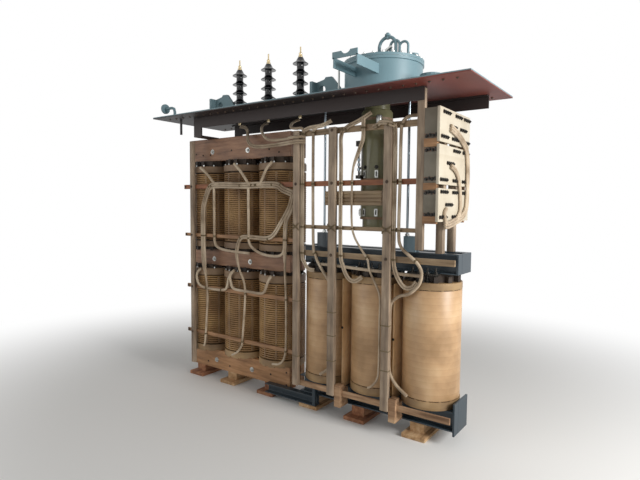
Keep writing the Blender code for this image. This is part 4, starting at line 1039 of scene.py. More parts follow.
# %% Points of the right routes
RIGHT_LEADS = (
    ((-0.80, 2.375, -0.012), (-0.695, 2.355, -0.06), (-0.595, 2.302, -0.13), (-0.515, 2.21, -0.21),
     (-0.448, 2.159), (-0.346, 2.143), (-0.16, 2.147), (-0.01, 2.15, LEAD_OVER), (0.085, 2.152, LEAD_OVER),
     (0.12, 2.153)),
    ((-0.467, 2.375, -0.012), (-0.46, 2.36, -0.06), (-0.43, 2.32, -0.13), (-0.35, 2.255, -0.205),
     (-0.28, 2.203), (-0.194, 2.186), (-0.06, 2.187), (-0.01, 2.188, LEAD_OVER), (0.085, 2.19, LEAD_OVER),
     (0.12, 2.19)),
    ((-0.1125, 2.375, -0.012), (-0.117, 2.355, -0.06), (-0.102, 2.32, -0.13), (-0.044, 2.278, -0.205),
     (0.02, 2.262), (0.085, 2.257), (0.106, 2.222)),
    ((0.335, 2.30, -0.19), (0.278, 2.263), (0.147, 2.252), (0.095, 2.204), (0.095, 1.997), (0.095, 1.309),
     (0.112, 1.218), (0.156, 1.16), (0.213, 1.153)),
    ((0.278, 2.263), (0.209, 2.239), (0.196, 2.142), (0.202, 1.391), (0.227, 1.264), (0.278, 1.178),
     (0.34, 1.07, LEAD_BACK), (0.368, 0.98, LEAD_BACK), (0.369, 0.451, LEAD_BACK), (0.342, 0.389, LEAD_BACK),
     (0.276, 0.335)),
    ((0.685, 2.325, -0.195), (0.608, 2.27), (0.499, 2.229), (0.452, 2.168), (0.454, 1.979), (0.456, 1.345),
     (0.479, 1.208), (0.528, 1.118), (0.588, 1.102), (0.645, 1.136)),
    ((0.64, 2.285), (0.641, 2.147), (0.609, 2.057), (0.56, 1.932), (0.551, 1.762), (0.553, 1.535),
     (0.578, 1.43), (0.642, 1.334), (0.692, 1.267), (0.709, 1.191), (0.76, 1.097), (0.797, 1.003),
     (0.797, 0.79), (0.797, 0.499), (0.785, 0.405), (0.74, 0.344), (0.707, 0.325)),
    ((0.722, 2.211), (0.765, 2.229), (0.806, 2.235, LEAD_OVER), (0.897, 2.21, LEAD_OVER), (0.898, 2.13),
     (0.898, 1.423), (0.90, 1.274), (0.925, 1.174), (0.984, 1.098), (1.043, 1.1), (1.078, 1.141)),
    ((1.16, 2.268, -0.19), (1.10, 2.268, LEAD_BACK), (1.05, 2.268, LEAD_BACK), (1.0, 2.262), (0.953, 2.227),
     (0.942, 2.147), (0.94, 1.826), (0.937, 1.479), (0.954, 1.379), (1.015, 1.322), (1.082, 1.267),
     (1.113, 1.203), (1.094, 1.122), (1.022, 1.054), (0.93, 1.02, LEAD_BACK), (0.873, 0.955, LEAD_BACK),
     (0.868, 0.799, LEAD_BACK), (0.866, 0.582, LEAD_BACK), (0.874, 0.466, LEAD_BACK), (0.925, 0.387, LEAD_BACK),
     (1.021, 0.334)),
    ((0.255, 1.203, LEAD_TIE), (0.33, 1.202, LEAD_BACK), (0.43, 1.20, LEAD_BACK), (0.49, 1.199, LEAD_TIE),
     (0.72, 1.19, LEAD_TIE), (0.80, 1.187, LEAD_BACK), (0.89, 1.185, LEAD_BACK), (0.93, 1.184, LEAD_TIE),
     (1.105, 1.182, LEAD_TIE)),
)
print("right routes:", len(RIGHT_LEADS), "with", sum(map(len, RIGHT_LEADS)), "points")

# %% [markdown]
# ## Routes on the terminal board
#
# These three hang on the board's face, so their points are given along the board and up.

# %% Points of the board's routes
BOARD_LEADS = (
    ((-0.12, 2.179), (-0.027, 2.158), (0.093, 2.118), (0.187, 2.058), (0.221, 1.954), (0.226, 1.775),
     (0.211, 1.645), (0.129, 1.582), (0.009, 1.556), (-0.104, 1.535), (-0.19, 1.53)),
    ((-0.101, 1.929), (-0.005, 1.895), (0.056, 1.824), (0.091, 1.7), (0.085, 1.617), (0.027, 1.567)),
    ((-0.165, 1.644), (-0.199, 1.605), (-0.162, 1.535)),
)
print("board routes:", len(BOARD_LEADS), "with", sum(map(len, BOARD_LEADS)), "points")

# %% [markdown]
# ## Bundles of leads
#
# Some routes carry two or three thin leads side by side. Each strand is the same route moved sideways. Below
# a bundle's last tie only one lead goes on, and it runs back to the middle of the route.

# %% Moving a route sideways
BOARD_FACE_X = 1.24
ROUTE_STEPS = 5
FADE = 0.12


def lead_route(points):
    return smooth_route([Vector((p[0], p[2] if len(p) == 3 else LEAD_FRONT, p[1])) for p in points],
                        ROUTE_STEPS)


def board_route(points):
    return smooth_route([Vector((BOARD_FACE_X + LEAD_RADIUS, y, z)) for y, z in points], ROUTE_STEPS)


def beside(route, gap, depth, tie):
    moved = []
    for place, spot in enumerate(route):
        ahead = route[min(place + 1, len(route) - 1)] - route[max(place - 1, 0)]
        share = min(max((spot.z - tie) / FADE, 0.0), 1.0)
        moved.append(spot + ahead.cross(depth).normalized() * gap * share)
    return moved


print("points on the first route:", len(lead_route(LEFT_LEADS[0])))

# %% [markdown]
# ## Winding the crepe
#
# The pipe's UV map carries the crepe's wrinkles along each strand. The crease angle is wide here, so that
# the round section shades as one smooth surface.

# %% Crepe leads
STRAND_PITCH = 2.05
BUNDLES = {
    "left": {"routes": [lead_route(points) for points in LEFT_LEADS], "depth": Vector((0, 1, 0)),
             "radius": 0.0092, "counts": {3: 3, 4: 3, 7: 2, 8: 2}, "ties": {4: 1.0, 7: 1.12, 8: 1.15}},
    "right": {"routes": [lead_route(points) for points in RIGHT_LEADS], "depth": Vector((0, 1, 0)),
              "radius": 0.008, "counts": {0: 2, 3: 2, 5: 2, 6: 2, 7: 2}, "ties": {6: 1.93}},
    "board": {"routes": [board_route(points) for points in BOARD_LEADS], "depth": Vector((1, 0, 0)),
              "radius": 0.0088, "counts": {0: 3, 1: 2}, "ties": {}},
}

strands = {}
for name, bundle in BUNDLES.items():
    strands[name] = []
    for place, route in enumerate(bundle["routes"]):
        count = bundle["counts"].get(place, 1)
        tie = bundle["ties"].get(place, 0.0)
        for number in range(count):
            gap = (number - (count - 1) / 2) * STRAND_PITCH * bundle["radius"]
            strand = beside(route, gap, bundle["depth"], tie)
            if tie and number != count // 2:
                strand = [spot for spot in strand if spot.z > tie]
            strands[name].append((strand, LEAD_RADIUS if count == 1 else bundle["radius"]))
    shape = bmesh.new()
    total = sum(pipe(shape, route, radius) for route, radius in strands[name])
    settle(f"{name}_crepe_leads", shape, (crepe,), (f"{name}_leads",), crease=80)
    print(name, "leads:", round(total, 2), "m")

# %% [markdown]
# ## Lashings
#
# Cord holds each lead where it crosses a rail. One lashing is a few turns of a thin ring, side by side along
# the lead, and the seed's direction sets it square to the lead.

# %% The lashing tree
LASH_PITCH = 1.9

tree, given = new_tree("lashing", {"Radius": "Float", "Cord": "Float", "Turns": "Int", "Finish": "Material"})
loop = add(tree, "GeometryNodeCurvePrimitiveCircle", {"Resolution": 10, "Radius": given["Radius"]})
strand = add(tree, "GeometryNodeCurvePrimitiveCircle", {"Resolution": 5, "Radius": given["Cord"]})
coil = add(tree, "GeometryNodeCurveToMesh", {"Curve": loop, "Profile Curve": strand})
coil = add(tree, "GeometryNodeSetMaterial", {"Geometry": coil, "Material": given["Finish"]})
width = add(tree, "ShaderNodeMath", {0: given["Cord"], 1: LASH_PITCH}, operation="MULTIPLY")
offset = add(tree, "ShaderNodeCombineXYZ", {"Z": width})
back = add(tree, "ShaderNodeMath", {0: width, 1: -1.0}, operation="MULTIPLY")
start = add(tree, "ShaderNodeCombineXYZ", {"Z": back})
turns = add(tree, "GeometryNodeMeshLine", {"Count": given["Turns"], "Start Location": start, "Offset": offset})
wound = add(tree, "GeometryNodeInstanceOnPoints", {"Points": turns, "Instance": coil})
lash_tree = close_tree(tree, on_seeds(tree, given, wound))
print("lashing tree:", len(tree.nodes), "nodes")

# %% [markdown]
# ## Where the lashings go
#
# The crossings are computed: a lead's route is walked until its height passes a rail's middle. Spots closer
# together than a lead is thick count once. Leads of each thickness make one piece.

# %% Lashings where leads cross rails
CORD = 0.0018
LASH_CLEARANCE = 0.0015

rail_boxes = [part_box(rail) for rail in RAIL_FINISHES if rail not in ("bottom_rail", "strip_pack")]
crossings = {radius: [] for radius in (LEAD_RADIUS, *(bundle["radius"] for bundle in BUNDLES.values()))}
for route, radius in strands["left"] + strands["right"]:
    for start, end in zip(route, route[1:]):
        for low, high in rail_boxes:
            level = (low.z + high.z) / 2
            if (start.z - level) * (end.z - level) <= 0 and start.z != end.z and low.x < start.x < high.x:
                spot = start.lerp(end, (level - start.z) / (end.z - start.z))
                if all((spot - other[0]).length > LEAD_RADIUS for other in crossings[radius]):
                    crossings[radius].append((spot, (end - start).normalized()))
for number, (radius, spots) in enumerate((item for item in crossings.items() if item[1]), 1):
    grow(f"rail_lashings_{number}", lash_tree, spots,
         {"Radius": radius + LASH_CLEARANCE, "Cord": CORD, "Turns": 4, "Finish": cotton})

# %% [markdown]
# ## Nuts and bolts
#
# One tree makes a hexagon nut on its washer with the bolt's end standing out of it, facing the way that
# the seed says. Nut, washer and bolt are each a cylinder, sized as a share of the nut's width.

# %% The nut tree
# Sides, radius and length of the nut, its washer and the bolt's end
NUT_PARTS = ((6, 0.55, 0.45), (14, 0.85, 0.10), (8, 0.28, 0.75))

tree, given = new_tree("nut", {"Across": "Float", "Finish": "Material"})
parts = []
for sides, *shares in NUT_PARTS:
    radius, length = [add(tree, "ShaderNodeMath", {0: given["Across"], 1: share}, operation="MULTIPLY")
                      for share in shares]
    raised = add(tree, "ShaderNodeMath", {0: length, 1: 0.5}, operation="MULTIPLY")
    up = add(tree, "ShaderNodeCombineXYZ", {"Z": raised})
    cylinder = add(tree, "GeometryNodeMeshCylinder", {"Vertices": sides, "Radius": radius, "Depth": length})
    parts.append(add(tree, "GeometryNodeTransform", {"Geometry": cylinder, "Translation": up}))
whole = add(tree, "GeometryNodeJoinGeometry", {0: parts})
whole = add(tree, "GeometryNodeSetMaterial", {"Geometry": whole, "Material": given["Finish"]})
nut_tree = close_tree(tree, on_seeds(tree, given, whole))
print("nut tree:", len(tree.nodes), "nodes")

# %% [markdown]
# ## Bolts of the rack
#
# A bolt holds each post to each rail that it crosses, so the posts' and rails' own boxes say where bolts go.
# The left ends of the four left rails have a nut of their own.

# %% Bolts where posts and rails cross
FRONT = (0, -1, 0)
RAIL_END = 0.018

rack_spots = []
for post in POSTS:
    low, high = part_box(post)
    for bottom, top in rail_boxes:
        level = (bottom.z + top.z) / 2
        if low.z < level < high.z and bottom.x < low.x and high.x < top.x:
            rack_spots.append((((low.x + high.x) / 2, RACK_FACE, level), FRONT))
grow("rack_bolts", nut_tree, rack_spots, {"Across": 0.015, "Finish": oiled_bolt})
rail_ends = [((low.x + RAIL_END, low.y, (low.z + high.z) / 2), FRONT) for low, high in rail_boxes[:4]]
grow("rail_end_nuts", nut_tree, rail_ends, {"Across": 0.014, "Finish": oiled_bolt})

# %% [markdown]
# ## Cord on the posts
#
# Cord crossed over three posts ties them to the rail below the barrel. Lower down, a turn of cord round a
# post ties the lead that runs down behind it.

# %% Crossed cord and cord rings
CROSS_CORD = 0.003
CROSS_RISE = 0.004
CORD_HALF = 0.004
CORD_PROUD = 0.0015
POST_CORDS = {"middle_post": (0.446, 0.894), "inner_post": (0.470, 0.664, 0.845),
              "outer_post": (0.484, 0.626, 0.809)}

tie_low, tie_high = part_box("barrel_rail")
tie_level = (tie_low.z + tie_high.z) / 2
shape = bmesh.new()
for post in POST_CORDS:
    low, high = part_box(post)
    left, right = low.x - CROSS_CORD, high.x + CROSS_CORD
    front, back = low.y - CROSS_CORD, low.y + 0.012
    for slope in (-1, 1):
        for rise in (-CROSS_RISE, CROSS_RISE):
            corners = ((left, back, -0.026), (left, front, -0.022), (right, front, 0.022), (right, back, 0.026))
            pipe(shape, [Vector((x, y, tie_level + rise + slope * climb)) for x, y, climb in corners],
                 CROSS_CORD, 6)
settle("cross_lashings", shape, (cotton,))
cords = []
for post, levels in POST_CORDS.items():
    low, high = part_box(post)
    cords += [((low.x - CORD_PROUD, low.y - CORD_PROUD, level - CORD_HALF),
               (high.x + CORD_PROUD, high.y + CORD_PROUD, level + CORD_HALF)) for level in levels]
boxes("post_cords", cords, cotton)

# %% [markdown]
# ## Buttons, clamp nuts and plugs
#
# A button pins each pressboard sheet between the windings. The wooden clamps show a few big nuts, and small
# dark plugs where bolts are sunk in the wood. Their places were read off the photo, and the rear clamps
# repeat the front ones.

# %% Buttons, clamp nuts and plugs
CLAMP_FACE = 0.105
BUTTONS = {"phase_barrier_1": (0.4415, 0.721), "phase_barrier_2": (0.8775, 0.698)}
CLAMP_NUTS = ((-1.026, 0.177), (-0.569, 0.172), (-1.05, 1.147), (-0.589, 1.150), (-1.067, 2.151),
              (-0.617, 2.142))
CLAMP_PLUGS = ((-1.297, 2.14), (-1.20, 2.124), (-1.096, 2.124), (-0.819, 2.152), (-0.366, 2.136),
               (-0.256, 2.106), (-1.142, 0.144), (-0.852, 0.148), (-0.345, 0.174), (-0.166, 0.223),
               (-0.166, 0.115))


def on_clamps(places):
    return [((x, side * CLAMP_FACE, z), (0, side, 0)) for x, z in places for side in (-1, 1)]


buttons = [((x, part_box(sheet)[0].y, level), FRONT) for sheet, (x, level) in BUTTONS.items()]
grow("barrier_buttons", nut_tree, buttons, {"Across": 0.012, "Finish": black_bolt})
grow("clamp_nuts", nut_tree, on_clamps(CLAMP_NUTS), {"Across": 0.027, "Finish": zinc})
grow("clamp_plugs", nut_tree, on_clamps(CLAMP_PLUGS), {"Across": 0.011, "Finish": oiled_bolt})

# %% [markdown]
# ## Tap changer barrel
#
# The changer's barrel is a tube of glass-resin laminate that hangs in the oil under the cover. It narrows
# to a neck at the top, wears three board rings, and a narrower foot closes it.

# %% Barrel
BARREL = Vector((0.624, 0.0, 0.0))
BARREL_RADIUS = 0.117
BARREL_SHOULDER = 2.37
BARREL_NECK = 0.095
BARREL_TOP = 2.457
BARREL_BOTTOM = 1.555
FOOT_BOTTOM = 1.492
BARREL_RINGS = (1.565, 1.853, 2.30)
RING_HALF = 0.009

shape = bmesh.new()
turn(shape, [(0, BARREL_BOTTOM), (0.09, BARREL_BOTTOM), (0.11, BARREL_BOTTOM + 0.006),
             (BARREL_RADIUS, BARREL_BOTTOM + 0.018), (BARREL_RADIUS, BARREL_SHOULDER - 0.015),
             (BARREL_RADIUS - 0.01, BARREL_SHOULDER), (BARREL_NECK, BARREL_SHOULDER + 0.002),
             (BARREL_NECK, BARREL_TOP), (0, BARREL_TOP)], BARREL[:2], 96, 0)
turn(shape, [(0, FOOT_BOTTOM), (0.098, FOOT_BOTTOM), (0.102, FOOT_BOTTOM + 0.004),
             (0.102, BARREL_BOTTOM + 0.003), (0, BARREL_BOTTOM + 0.003)], BARREL[:2], 96, 0)
for level in BARREL_RINGS:
    tube(shape, BARREL[:2], (0.11, BARREL_RADIUS + 0.003), (level - RING_HALF, level + RING_HALF), 96, 1)
settle("barrel_tube", shape, (olive_tube, end_board), ("changer_barrel",))

# %% [markdown]
# ## Fittings round the barrel
#
# Eight contacts stand round the barrel at each of two levels, bright plates, each with a dark block down
# its middle as painted shade for its slot, with bolts above the upper ones. All share one count and one
# starting angle, so they stay in line.

# %% Barrel fittings and bolts
FITTING_COUNT = 8
FITTING_START = math.radians(-106)
FITTING_LEVELS = (1.892, 1.608)
BOLT_LEVEL = 1.944
FITTINGS = {"barrel_fittings": ((0.016, 0.024, 0.056), zinc),
            # Painted shade: a black block stands for the shaded slot of each contact
            "barrel_fitting_slot_shades": ((0.022, 0.009, 0.034), black_bolt)}

fitting_spots = upright([BARREL + Vector((0, 0, level)) for level in FITTING_LEVELS])
for name, (size, finish) in FITTINGS.items():
    grow(name, block_tree, fitting_spots,
         {"Count": FITTING_COUNT, "Radius": BARREL_RADIUS + 0.002, "Size": size, "Start": FITTING_START,
          "Finish": finish})
bolt_spots = [(BARREL + way * (BARREL_RADIUS - 0.001) + Vector((0, 0, BOLT_LEVEL)), way)
              for way in ways_round(FITTING_COUNT, FITTING_START)]
grow("barrel_bolts", nut_tree, bolt_spots, {"Across": 0.018, "Finish": black_bolt})

# %% [markdown]
# ## Contact string
#
# A dark bar with five bright contacts hangs in front of the barrel between two brackets, and a short zinc
# plated tube stands at the barrel's head.

# %% Contact string down the barrel's side, and a bright tube at its head
STRING = Vector((0.545, -0.128, 0.0))
STRING_ENDS = (1.86, 2.14)
CONTACTS = (1.928, 1.963, 2.0, 2.052, 2.079)
CONTACT_RADIUS = 0.011
CONTACT_HALF = 0.009
BRACKETS = ((1.86, 1.885), (2.10, 2.14))
HEAD_TUBE = (0.705, -0.117)

shape = bmesh.new()
tube(shape, STRING[:2], (0, 0.006), STRING_ENDS, 12, 0)
for level in CONTACTS:
    tube(shape, STRING[:2], (0, CONTACT_RADIUS), (level - CONTACT_HALF, level + CONTACT_HALF), 14, 1)
for low, high in BRACKETS:
    bar(shape, (STRING.x - 0.02, STRING.y - 0.012, low), (STRING.x + 0.02, STRING.y + 0.06, high), 0)
turn(shape, [(0, 2.246), (0.02, 2.246), (0.022, 2.25), (0.022, 2.312), (0.02, 2.316), (0, 2.316)],
     HEAD_TUBE, 24, 2)
settle("contact_string", shape, (black_bolt, bright_steel, zinc))

# %% [markdown]
# ## Turret
#
# Above the cover the changer's head sits in a round steel turret with a rim. A cradle of two plates
# reaches from it to the cover's front edge, and the plate across their end dips in a round saddle for the
# drive shaft. The saddle is drawn as an outline and pushed out to a plate's thickness.

# %% Turret wall and shaft cradle
TURRET = Vector((0.60, 0.13, 0.0))
TURRET_RADIUS = 0.30
COVER_TOP = 2.4583
TURRET_TOP = 2.7353
RIM = 0.309
CRADLE_X = (0.527, 0.714)
CRADLE_FRONT = -0.445
CRADLE_PLATE = 0.008
CRADLE_FOOT = 2.605
CRADLE_TOP = 2.675
CROSS_TOP = 2.712
SADDLE_RADIUS = 0.042
SADDLE_EDGE = math.radians(28)
SADDLE_STEPS = 12

shape = bmesh.new()
turn(shape, [(0, COVER_TOP), (TURRET_RADIUS + 0.012, COVER_TOP), (TURRET_RADIUS + 0.012, COVER_TOP + 0.012),
             (TURRET_RADIUS, COVER_TOP + 0.016), (TURRET_RADIUS, CROSS_TOP), (RIM, TURRET_TOP - 0.02),
             (RIM, TURRET_TOP - 0.001), (0, TURRET_TOP - 0.001)], TURRET[:2], 96)
for x in CRADLE_X:
    bar(shape, (x - CRADLE_PLATE, CRADLE_FRONT, CRADLE_FOOT), (x, 0.0, CRADLE_TOP))
left, right = CRADLE_X[0] - 2 * CRADLE_PLATE, CRADLE_X[1]
outline = [(left, CRADLE_TOP - CRADLE_PLATE), (left, CROSS_TOP)]
for step in range(SADDLE_STEPS + 1):
    angle = SADDLE_EDGE + (math.pi - 2 * SADDLE_EDGE) * step / SADDLE_STEPS
    outline.append((sum(CRADLE_X) / 2 - SADDLE_RADIUS * math.cos(angle),
                    CROSS_TOP + SADDLE_RADIUS * (math.sin(SADDLE_EDGE) - math.sin(angle))))
outline += [(right, CROSS_TOP), (right, CRADLE_TOP - CRADLE_PLATE)]
plate = shape.faces.new([shape.verts.new((x, CRADLE_FRONT, z)) for x, z in outline])
grown = bmesh.ops.extrude_face_region(shape, geom=[plate])["geom"]
moved = [item for item in grown if isinstance(item, bmesh.types.BMVert)]
bmesh.ops.translate(shape, verts=moved, vec=(0, CRADLE_PLATE, 0))
bmesh.ops.recalc_face_normals(shape, faces=shape.faces)
settle("turret_wall", shape, (grey_green,), ("changer_turret",))

# %% [markdown]
# ## Lid of the turret
#
# The lid is a stepped disc on a pale gasket. On it stand three pipe bends, one with a small valve on its
# crest, a slanting bare handle and two capped necks. A bend is a leg, half a circle and another leg.

# %% Stepped lid, pipes, valve and handle
LID_TOP = 2.7716
PIPE_FOOT = 2.755
PIPE_Y = 0.05
BEND_STEPS = 16
# Left and right leg, top and radius of each bend, then place, radius and height of each neck
LID_PIPES = (((0.605, 0.745), 2.92, 0.0125), ((0.70, 0.775), 2.885, 0.010), ((0.775, 0.845), 2.865, 0.009))
LID_NECKS = (((0.44, 0.10), 0.045, 0.055), ((0.80, 0.22), 0.035, 0.045))
NECK_FOOT = 2.77

shape = bmesh.new()
turn(shape, [(0, TURRET_TOP + 0.0005), (RIM, TURRET_TOP + 0.0005), (RIM, 2.7545), (0.262, 2.7556),
             (0.258, LID_TOP), (0, LID_TOP)], TURRET[:2], 96)
tube(shape, TURRET[:2], (0.292, 0.306), (TURRET_TOP - 0.003, TURRET_TOP + 0.004), 96, 1)
for (left, right), top, radius in LID_PIPES:
    half = (right - left) / 2
    angles = [math.pi * step / BEND_STEPS for step in range(BEND_STEPS + 1)]
    bend = [Vector(((left + right) / 2 - half * math.cos(angle), PIPE_Y, top - half + half * math.sin(angle)))
            for angle in angles]
    pipe(shape, [Vector((left, PIPE_Y, PIPE_FOOT)), *bend, Vector((right, PIPE_Y, PIPE_FOOT))], radius, 16)
turn(shape, [(0, 2.905), (0.014, 2.905), (0.014, 2.925), (0.022, 2.927), (0.022, 2.94), (0.012, 2.944),
             (0.012, 2.95), (0, 2.95)], (0.675, PIPE_Y), 20)
pipe(shape, [Vector((0.64, 0.03, 2.772)), Vector((0.645, 0.03, 2.80)), Vector((0.72, 0.03, 2.84))], 0.012, 12, 1)
for spot, radius, height in LID_NECKS:
    top = NECK_FOOT + height
    turn(shape, [(0, NECK_FOOT), (radius, NECK_FOOT), (radius, top - 0.012), (radius * 1.3, top - 0.010),
                 (radius * 1.3, top), (0, top)], spot, 24)
settle("turret_cover", shape, (grey_green, zinc), ("turret_lid",))

# %% [markdown]
# ## Bolts of the lid
#
# A ring of bolts holds the lid to the turret's rim.

# %% Lid bolts
LID_BOLTS = 26
LID_BOLT_CIRCLE = 0.29
LID_STEP = 2.7545

lid_spots = [TURRET + way * LID_BOLT_CIRCLE + Vector((0, 0, LID_STEP))
             for way in ways_round(LID_BOLTS, math.pi / LID_BOLTS)]
grow("lid_bolts", nut_tree, upright(lid_spots), {"Across": 0.024, "Finish": zinc})

# %% [markdown]
# ## Bushings
#
# Three porcelain bushings bring the high voltage out through the cover. Four drooping sheds keep rain off
# the surface between them. Each is one turned profile, whose sheds repeat by a pitch, with a brass terminal
# on top and below the cover, and a clamped foot.

# %% Three bushings
BUSHING_X = (-0.8155, -0.4675, -0.1125)
STEM_FOOT = 2.49
SHED_START = 2.596
SHED_PITCH = 0.0813
SHEDS = 4
CORE_RADIUS = 0.031
SHED_RADIUS = 0.066
BUSHING_TOP = 2.9745
CAP = SHED_START + (SHEDS - 1) * SHED_PITCH + 0.048

stem = [(0, STEM_FOOT), (CORE_RADIUS + 0.004, STEM_FOOT), (CORE_RADIUS, STEM_FOOT + 0.02)]
for step in range(SHEDS):
    edge = SHED_START + step * SHED_PITCH
    stem += [(CORE_RADIUS, edge - 0.012), (CORE_RADIUS + 0.004, edge - 0.006), (0.045, edge - 0.004),
             (0.060, edge - 0.009), (SHED_RADIUS - 0.001, edge - 0.008), (SHED_RADIUS, edge - 0.004),
             (SHED_RADIUS - 0.003, edge), (0.052, edge + 0.007), (0.038, edge + 0.018),
             (CORE_RADIUS, edge + 0.032)]
stem += [(0.022, CAP), (0, CAP)]
terminal = [(0, CAP - 0.003), (0.019, CAP - 0.003), (0.019, CAP + 0.012), (0.012, CAP + 0.018),
            (0.015, CAP + 0.026), (0.015, CAP + 0.034), (0.009, CAP + 0.040), (0.006, CAP + 0.044),
            (0.006, BUSHING_TOP), (0, BUSHING_TOP)]
foot = [(0, COVER_TOP), (SHED_RADIUS, COVER_TOP), (SHED_RADIUS, 2.472), (0.05, 2.486), (0.040, 2.4885),
        (0, 2.4885)]
lower_terminal = [(0, 2.389), (0.013, 2.389), (0.014, 2.392), (0.014, 2.43), (0.026, 2.432), (0.026, 2.4435),
                  (0, 2.4435)]
for number, x in enumerate(BUSHING_X, 1):
    shape = bmesh.new()
    for profile, steps, finish in ((stem, 48, 0), (terminal, 28, 1), (foot, 40, 2), (lower_terminal, 24, 1)):
        turn(shape, profile, (x, 0), steps, finish)
    settle(f"bushing_{number}_porcelain", shape, (glaze, brass, grey_green),
           (f"bushing_{number}",))

# %% [markdown]
# ## Nuts at the bushings' feet
#
# Four nuts clamp each foot to the cover, at the corners of a square.

# %% Foot nuts
FOOT_NUT_CIRCLE = 0.055
FOOT_NUT_LEVEL = 2.478

foot_spots = [Vector((x, 0, FOOT_NUT_LEVEL)) + way * FOOT_NUT_CIRCLE
              for x in BUSHING_X for way in ways_round(4, math.pi / 4)]
grow("bushing_foot_nuts", nut_tree, upright(foot_spots), {"Across": 0.014, "Finish": zinc})

# %% [markdown]
# ## Terminal board
#
# The board at the right end is three tiers of white pressboard. Behind it a side wall closes the box, its
# board greyed as painted shade, with bars of oiled beech between the tiers. Two wooden legs stand on the
# steel clamp and carry it.

# %% Board, side wall, crossbars and legs
BOARD_FRAME = 1.1235
BOARD_BACK = 1.22
BOARD_REACH = 0.28
TIERS = ((1.555, 1.775), (1.80, 2.06), (2.076, 2.30))
# Front, rear, low and high of the two side walls, the top and the bottom
WALLS = ((-0.255, -0.245, 1.555, 2.30), (0.245, 0.255, 1.555, 2.30), (-0.245, 0.245, 2.28, 2.29),
         (-0.245, 0.245, 1.56, 1.57))
CROSSBARS = ((1.54, 1.59), (1.765, 1.81), (2.045, 2.10))
STEEL_TOP = 1.3353
LEG_Y = (-0.12, 0.085)
LEG_HALF = 0.025
LEG_FRONT = 1.17
LEG_TOP = 2.275

boxes("board_tiers", [((BOARD_BACK, -BOARD_REACH, low), (BOARD_FACE_X, BOARD_REACH, high)) for low, high in TIERS],
      white_board, ("terminal_board",), edge=0.002)
walls = [((BOARD_FRAME, front, low), (BOARD_BACK, rear, high)) for front, rear, low, high in WALLS]
# Painted shade: the side wall is the board's pressboard, greyed
boxes("board_side_wall", walls, shaded_side_board, edge=0.001)
crossbars = [((BOARD_FRAME, front, low), (BOARD_BACK, rear, high))
             for low, high in CROSSBARS for front, rear in ((-0.266, -0.236), (0.236, 0.266))]
boxes("board_crossbars", crossbars, warm_rail, edge=0.002)
legs = [((LEG_FRONT, y - LEG_HALF, STEEL_TOP), (BOARD_BACK, y + LEG_HALF, LEG_TOP)) for y in LEG_Y]
boxes("board_legs", legs, post_beech, edge=0.003)

# %% [markdown]
# ## Bolted links
#
# Short copper bars link the ends of the tapping leads, four dark bolts to a bar. Rows of them fill the
# board's face, so a height and the middles of its bars describe a row.

# %% Links on the board's face
LINK_ROWS = {2.272: (-0.17, 0.045, 0.21), 2.192: (-0.055, 0.14), 2.112: (-0.20, -0.01, 0.20),
             2.035: (0.02, 0.20), 1.945: (-0.09,), 1.832: (-0.20, 0.02, 0.20), 1.752: (-0.19, 0.02, 0.20),
             1.668: (-0.10,), 1.585: (-0.20, 0.02)}
LINK_BOLTS = 4
LINK_PITCH = 0.034
LINK_REACH = LINK_PITCH * (LINK_BOLTS - 1) / 2
LINK_END = 0.01
LINK_HALF = 0.008
LINK_FACE = BOARD_FACE_X + 0.003

links = [(middle, level) for level, middles in LINK_ROWS.items() for middle in middles]
boxes("link_bars", [((BOARD_FACE_X, middle - LINK_REACH - LINK_END, level - LINK_HALF),
                     (LINK_FACE, middle + LINK_REACH + LINK_END, level + LINK_HALF)) for middle, level in links],
      copper)
link_spots = [((LINK_FACE, middle - LINK_REACH + number * LINK_PITCH, level), (1, 0, 0))
              for middle, level in links for number in range(LINK_BOLTS)]
grow("link_bolts", nut_tree, link_spots, {"Across": 0.016, "Finish": black_bolt})

# %% [markdown]
# ## Bolt packs on the side wall
#
# On the side wall four bolts crowd together on a narrow copper strip, at five heights.

# %% Bolt packs
PACK_LEVELS = (2.118, 2.025, 1.835, 1.745, 1.60)
PACK_FACE = RACK_FACE - 0.004
PACK_START = 1.142
PACK_PITCH = 0.021
PACK_STAGGER = 0.004
STRIP_X = (1.128, 1.216)

pack_spots = [((PACK_START + PACK_PITCH * number, PACK_FACE, level + PACK_STAGGER * (number % 2)), FRONT)
              for level in PACK_LEVELS for number in range(4)]
grow("side_wall_bolts", nut_tree, pack_spots, {"Across": 0.015, "Finish": black_bolt})
boxes("side_wall_packs", [((STRIP_X[0], PACK_FACE, level - 0.009), (STRIP_X[1], RACK_FACE + 0.001, level + 0.013))
                          for level in PACK_LEVELS], copper)

# %% [markdown]
# ## Suspension rods
#
# Bright steel rods hang the right unit from the cover. Each stands in a painted shoe on the steel clamp,
# with a nut at either end. The second shoe is paler and reaches further to the right.

# %% Suspension rods
RODS = ((0.2235, 0.0, blue_grey), (0.943, 0.034, blue_grey_light))
ROD_Y = -0.11
ROD_RADIUS = 0.009
COVER_UNDERSIDE = 2.4435
SHOE_TOP = STEEL_TOP + 0.11
SHOE_HALF = (0.045, 0.035)
ROD_NUT = (0.017, 0.016)

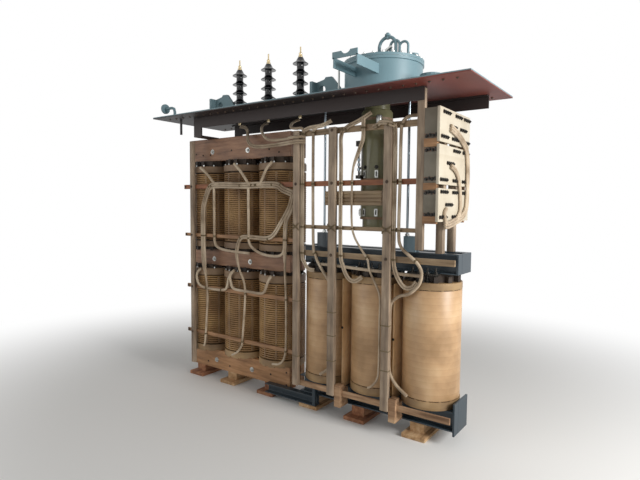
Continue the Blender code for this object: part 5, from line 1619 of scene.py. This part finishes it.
for number, (x, shift, paint) in enumerate(RODS, 1):
    shape = bmesh.new()
    bar(shape, (x + shift - SHOE_HALF[0], ROD_Y - SHOE_HALF[1], STEEL_TOP),
        (x + shift + SHOE_HALF[0], ROD_Y + SHOE_HALF[1], SHOE_TOP), 1)
    tube(shape, (x, ROD_Y), (0, ROD_RADIUS), (STEEL_TOP + 0.10, COVER_UNDERSIDE), 24, 0)
    for level in (SHOE_TOP, 2.40):
        tube(shape, (x, ROD_Y), (0, ROD_NUT[0]), (level, level + ROD_NUT[1]), 6, 2)
    settle(f"rod_{number}_and_shoe", shape, (bright_steel, paint, zinc),
           (f"suspension_rod_{number}",))

# %% [markdown]
# ## Jack screws
#
# Paper shrinks as it dries, so screws between the steel clamp and each winding keep the winding pressed.
# Four stand on either side of a winding, the middle two further out, through a flat bar that holds them.

# %% Jack screws on the wrapped windings
JACK_SHIFTS = {-0.085: 0.150, -0.03: 0.162, 0.03: 0.162, 0.085: 0.150}
JACK_TOP = 1.235
JACK_NUTS = (1.150, 1.196)
JACK_BAR = (0.105, 0.1515, 0.0245)
JACK_BAR_LEVELS = (1.184, 1.196)

shape = bmesh.new()
jack_spots = []
for x in WRAP_X:
    for side in (-1, 1):
        for shift, depth in JACK_SHIFTS.items():
            spot = (x + shift, side * depth)
            turn(shape, [(0, WRAP_TOP), (0.016, WRAP_TOP), (0.016, WRAP_TOP + 0.008), (0.008, WRAP_TOP + 0.010),
                         (0.008, JACK_TOP), (0, JACK_TOP)], spot, 14)
            jack_spots += [(*spot, level) for level in JACK_NUTS]
        bar(shape, (x - JACK_BAR[0], side * JACK_BAR[1] - JACK_BAR[2], JACK_BAR_LEVELS[0]),
            (x + JACK_BAR[0], side * JACK_BAR[1] + JACK_BAR[2], JACK_BAR_LEVELS[1]))
settle("jack_screws", shape, (black_bolt,))
grow("jack_nuts", nut_tree, upright(jack_spots), {"Across": 0.024, "Finish": black_bolt})

# %% [markdown]
# ## Bolts of the cover
#
# Along both long edges of the cover run the bolts of the tank flange. They hang head down under the plate,
# one to every pitch.

# %% Bolts along the cover
COVER_BOLT_Y = 0.348
COVER_BOLT_PITCH = 0.0915
COVER_BOLT_LEVEL = 2.4438
BOLTS_EACH_WAY = 15

cover_spots = []
for number in range(-BOLTS_EACH_WAY, BOLTS_EACH_WAY + 1):
    for side in (-1, 1):
        spot = (number * COVER_BOLT_PITCH, side * COVER_BOLT_Y, COVER_BOLT_LEVEL)
        cover_spots.append((spot, (0, 0, -1)))
grow("cover_bolts", nut_tree, cover_spots, {"Across": 0.013, "Finish": oiled_bolt})
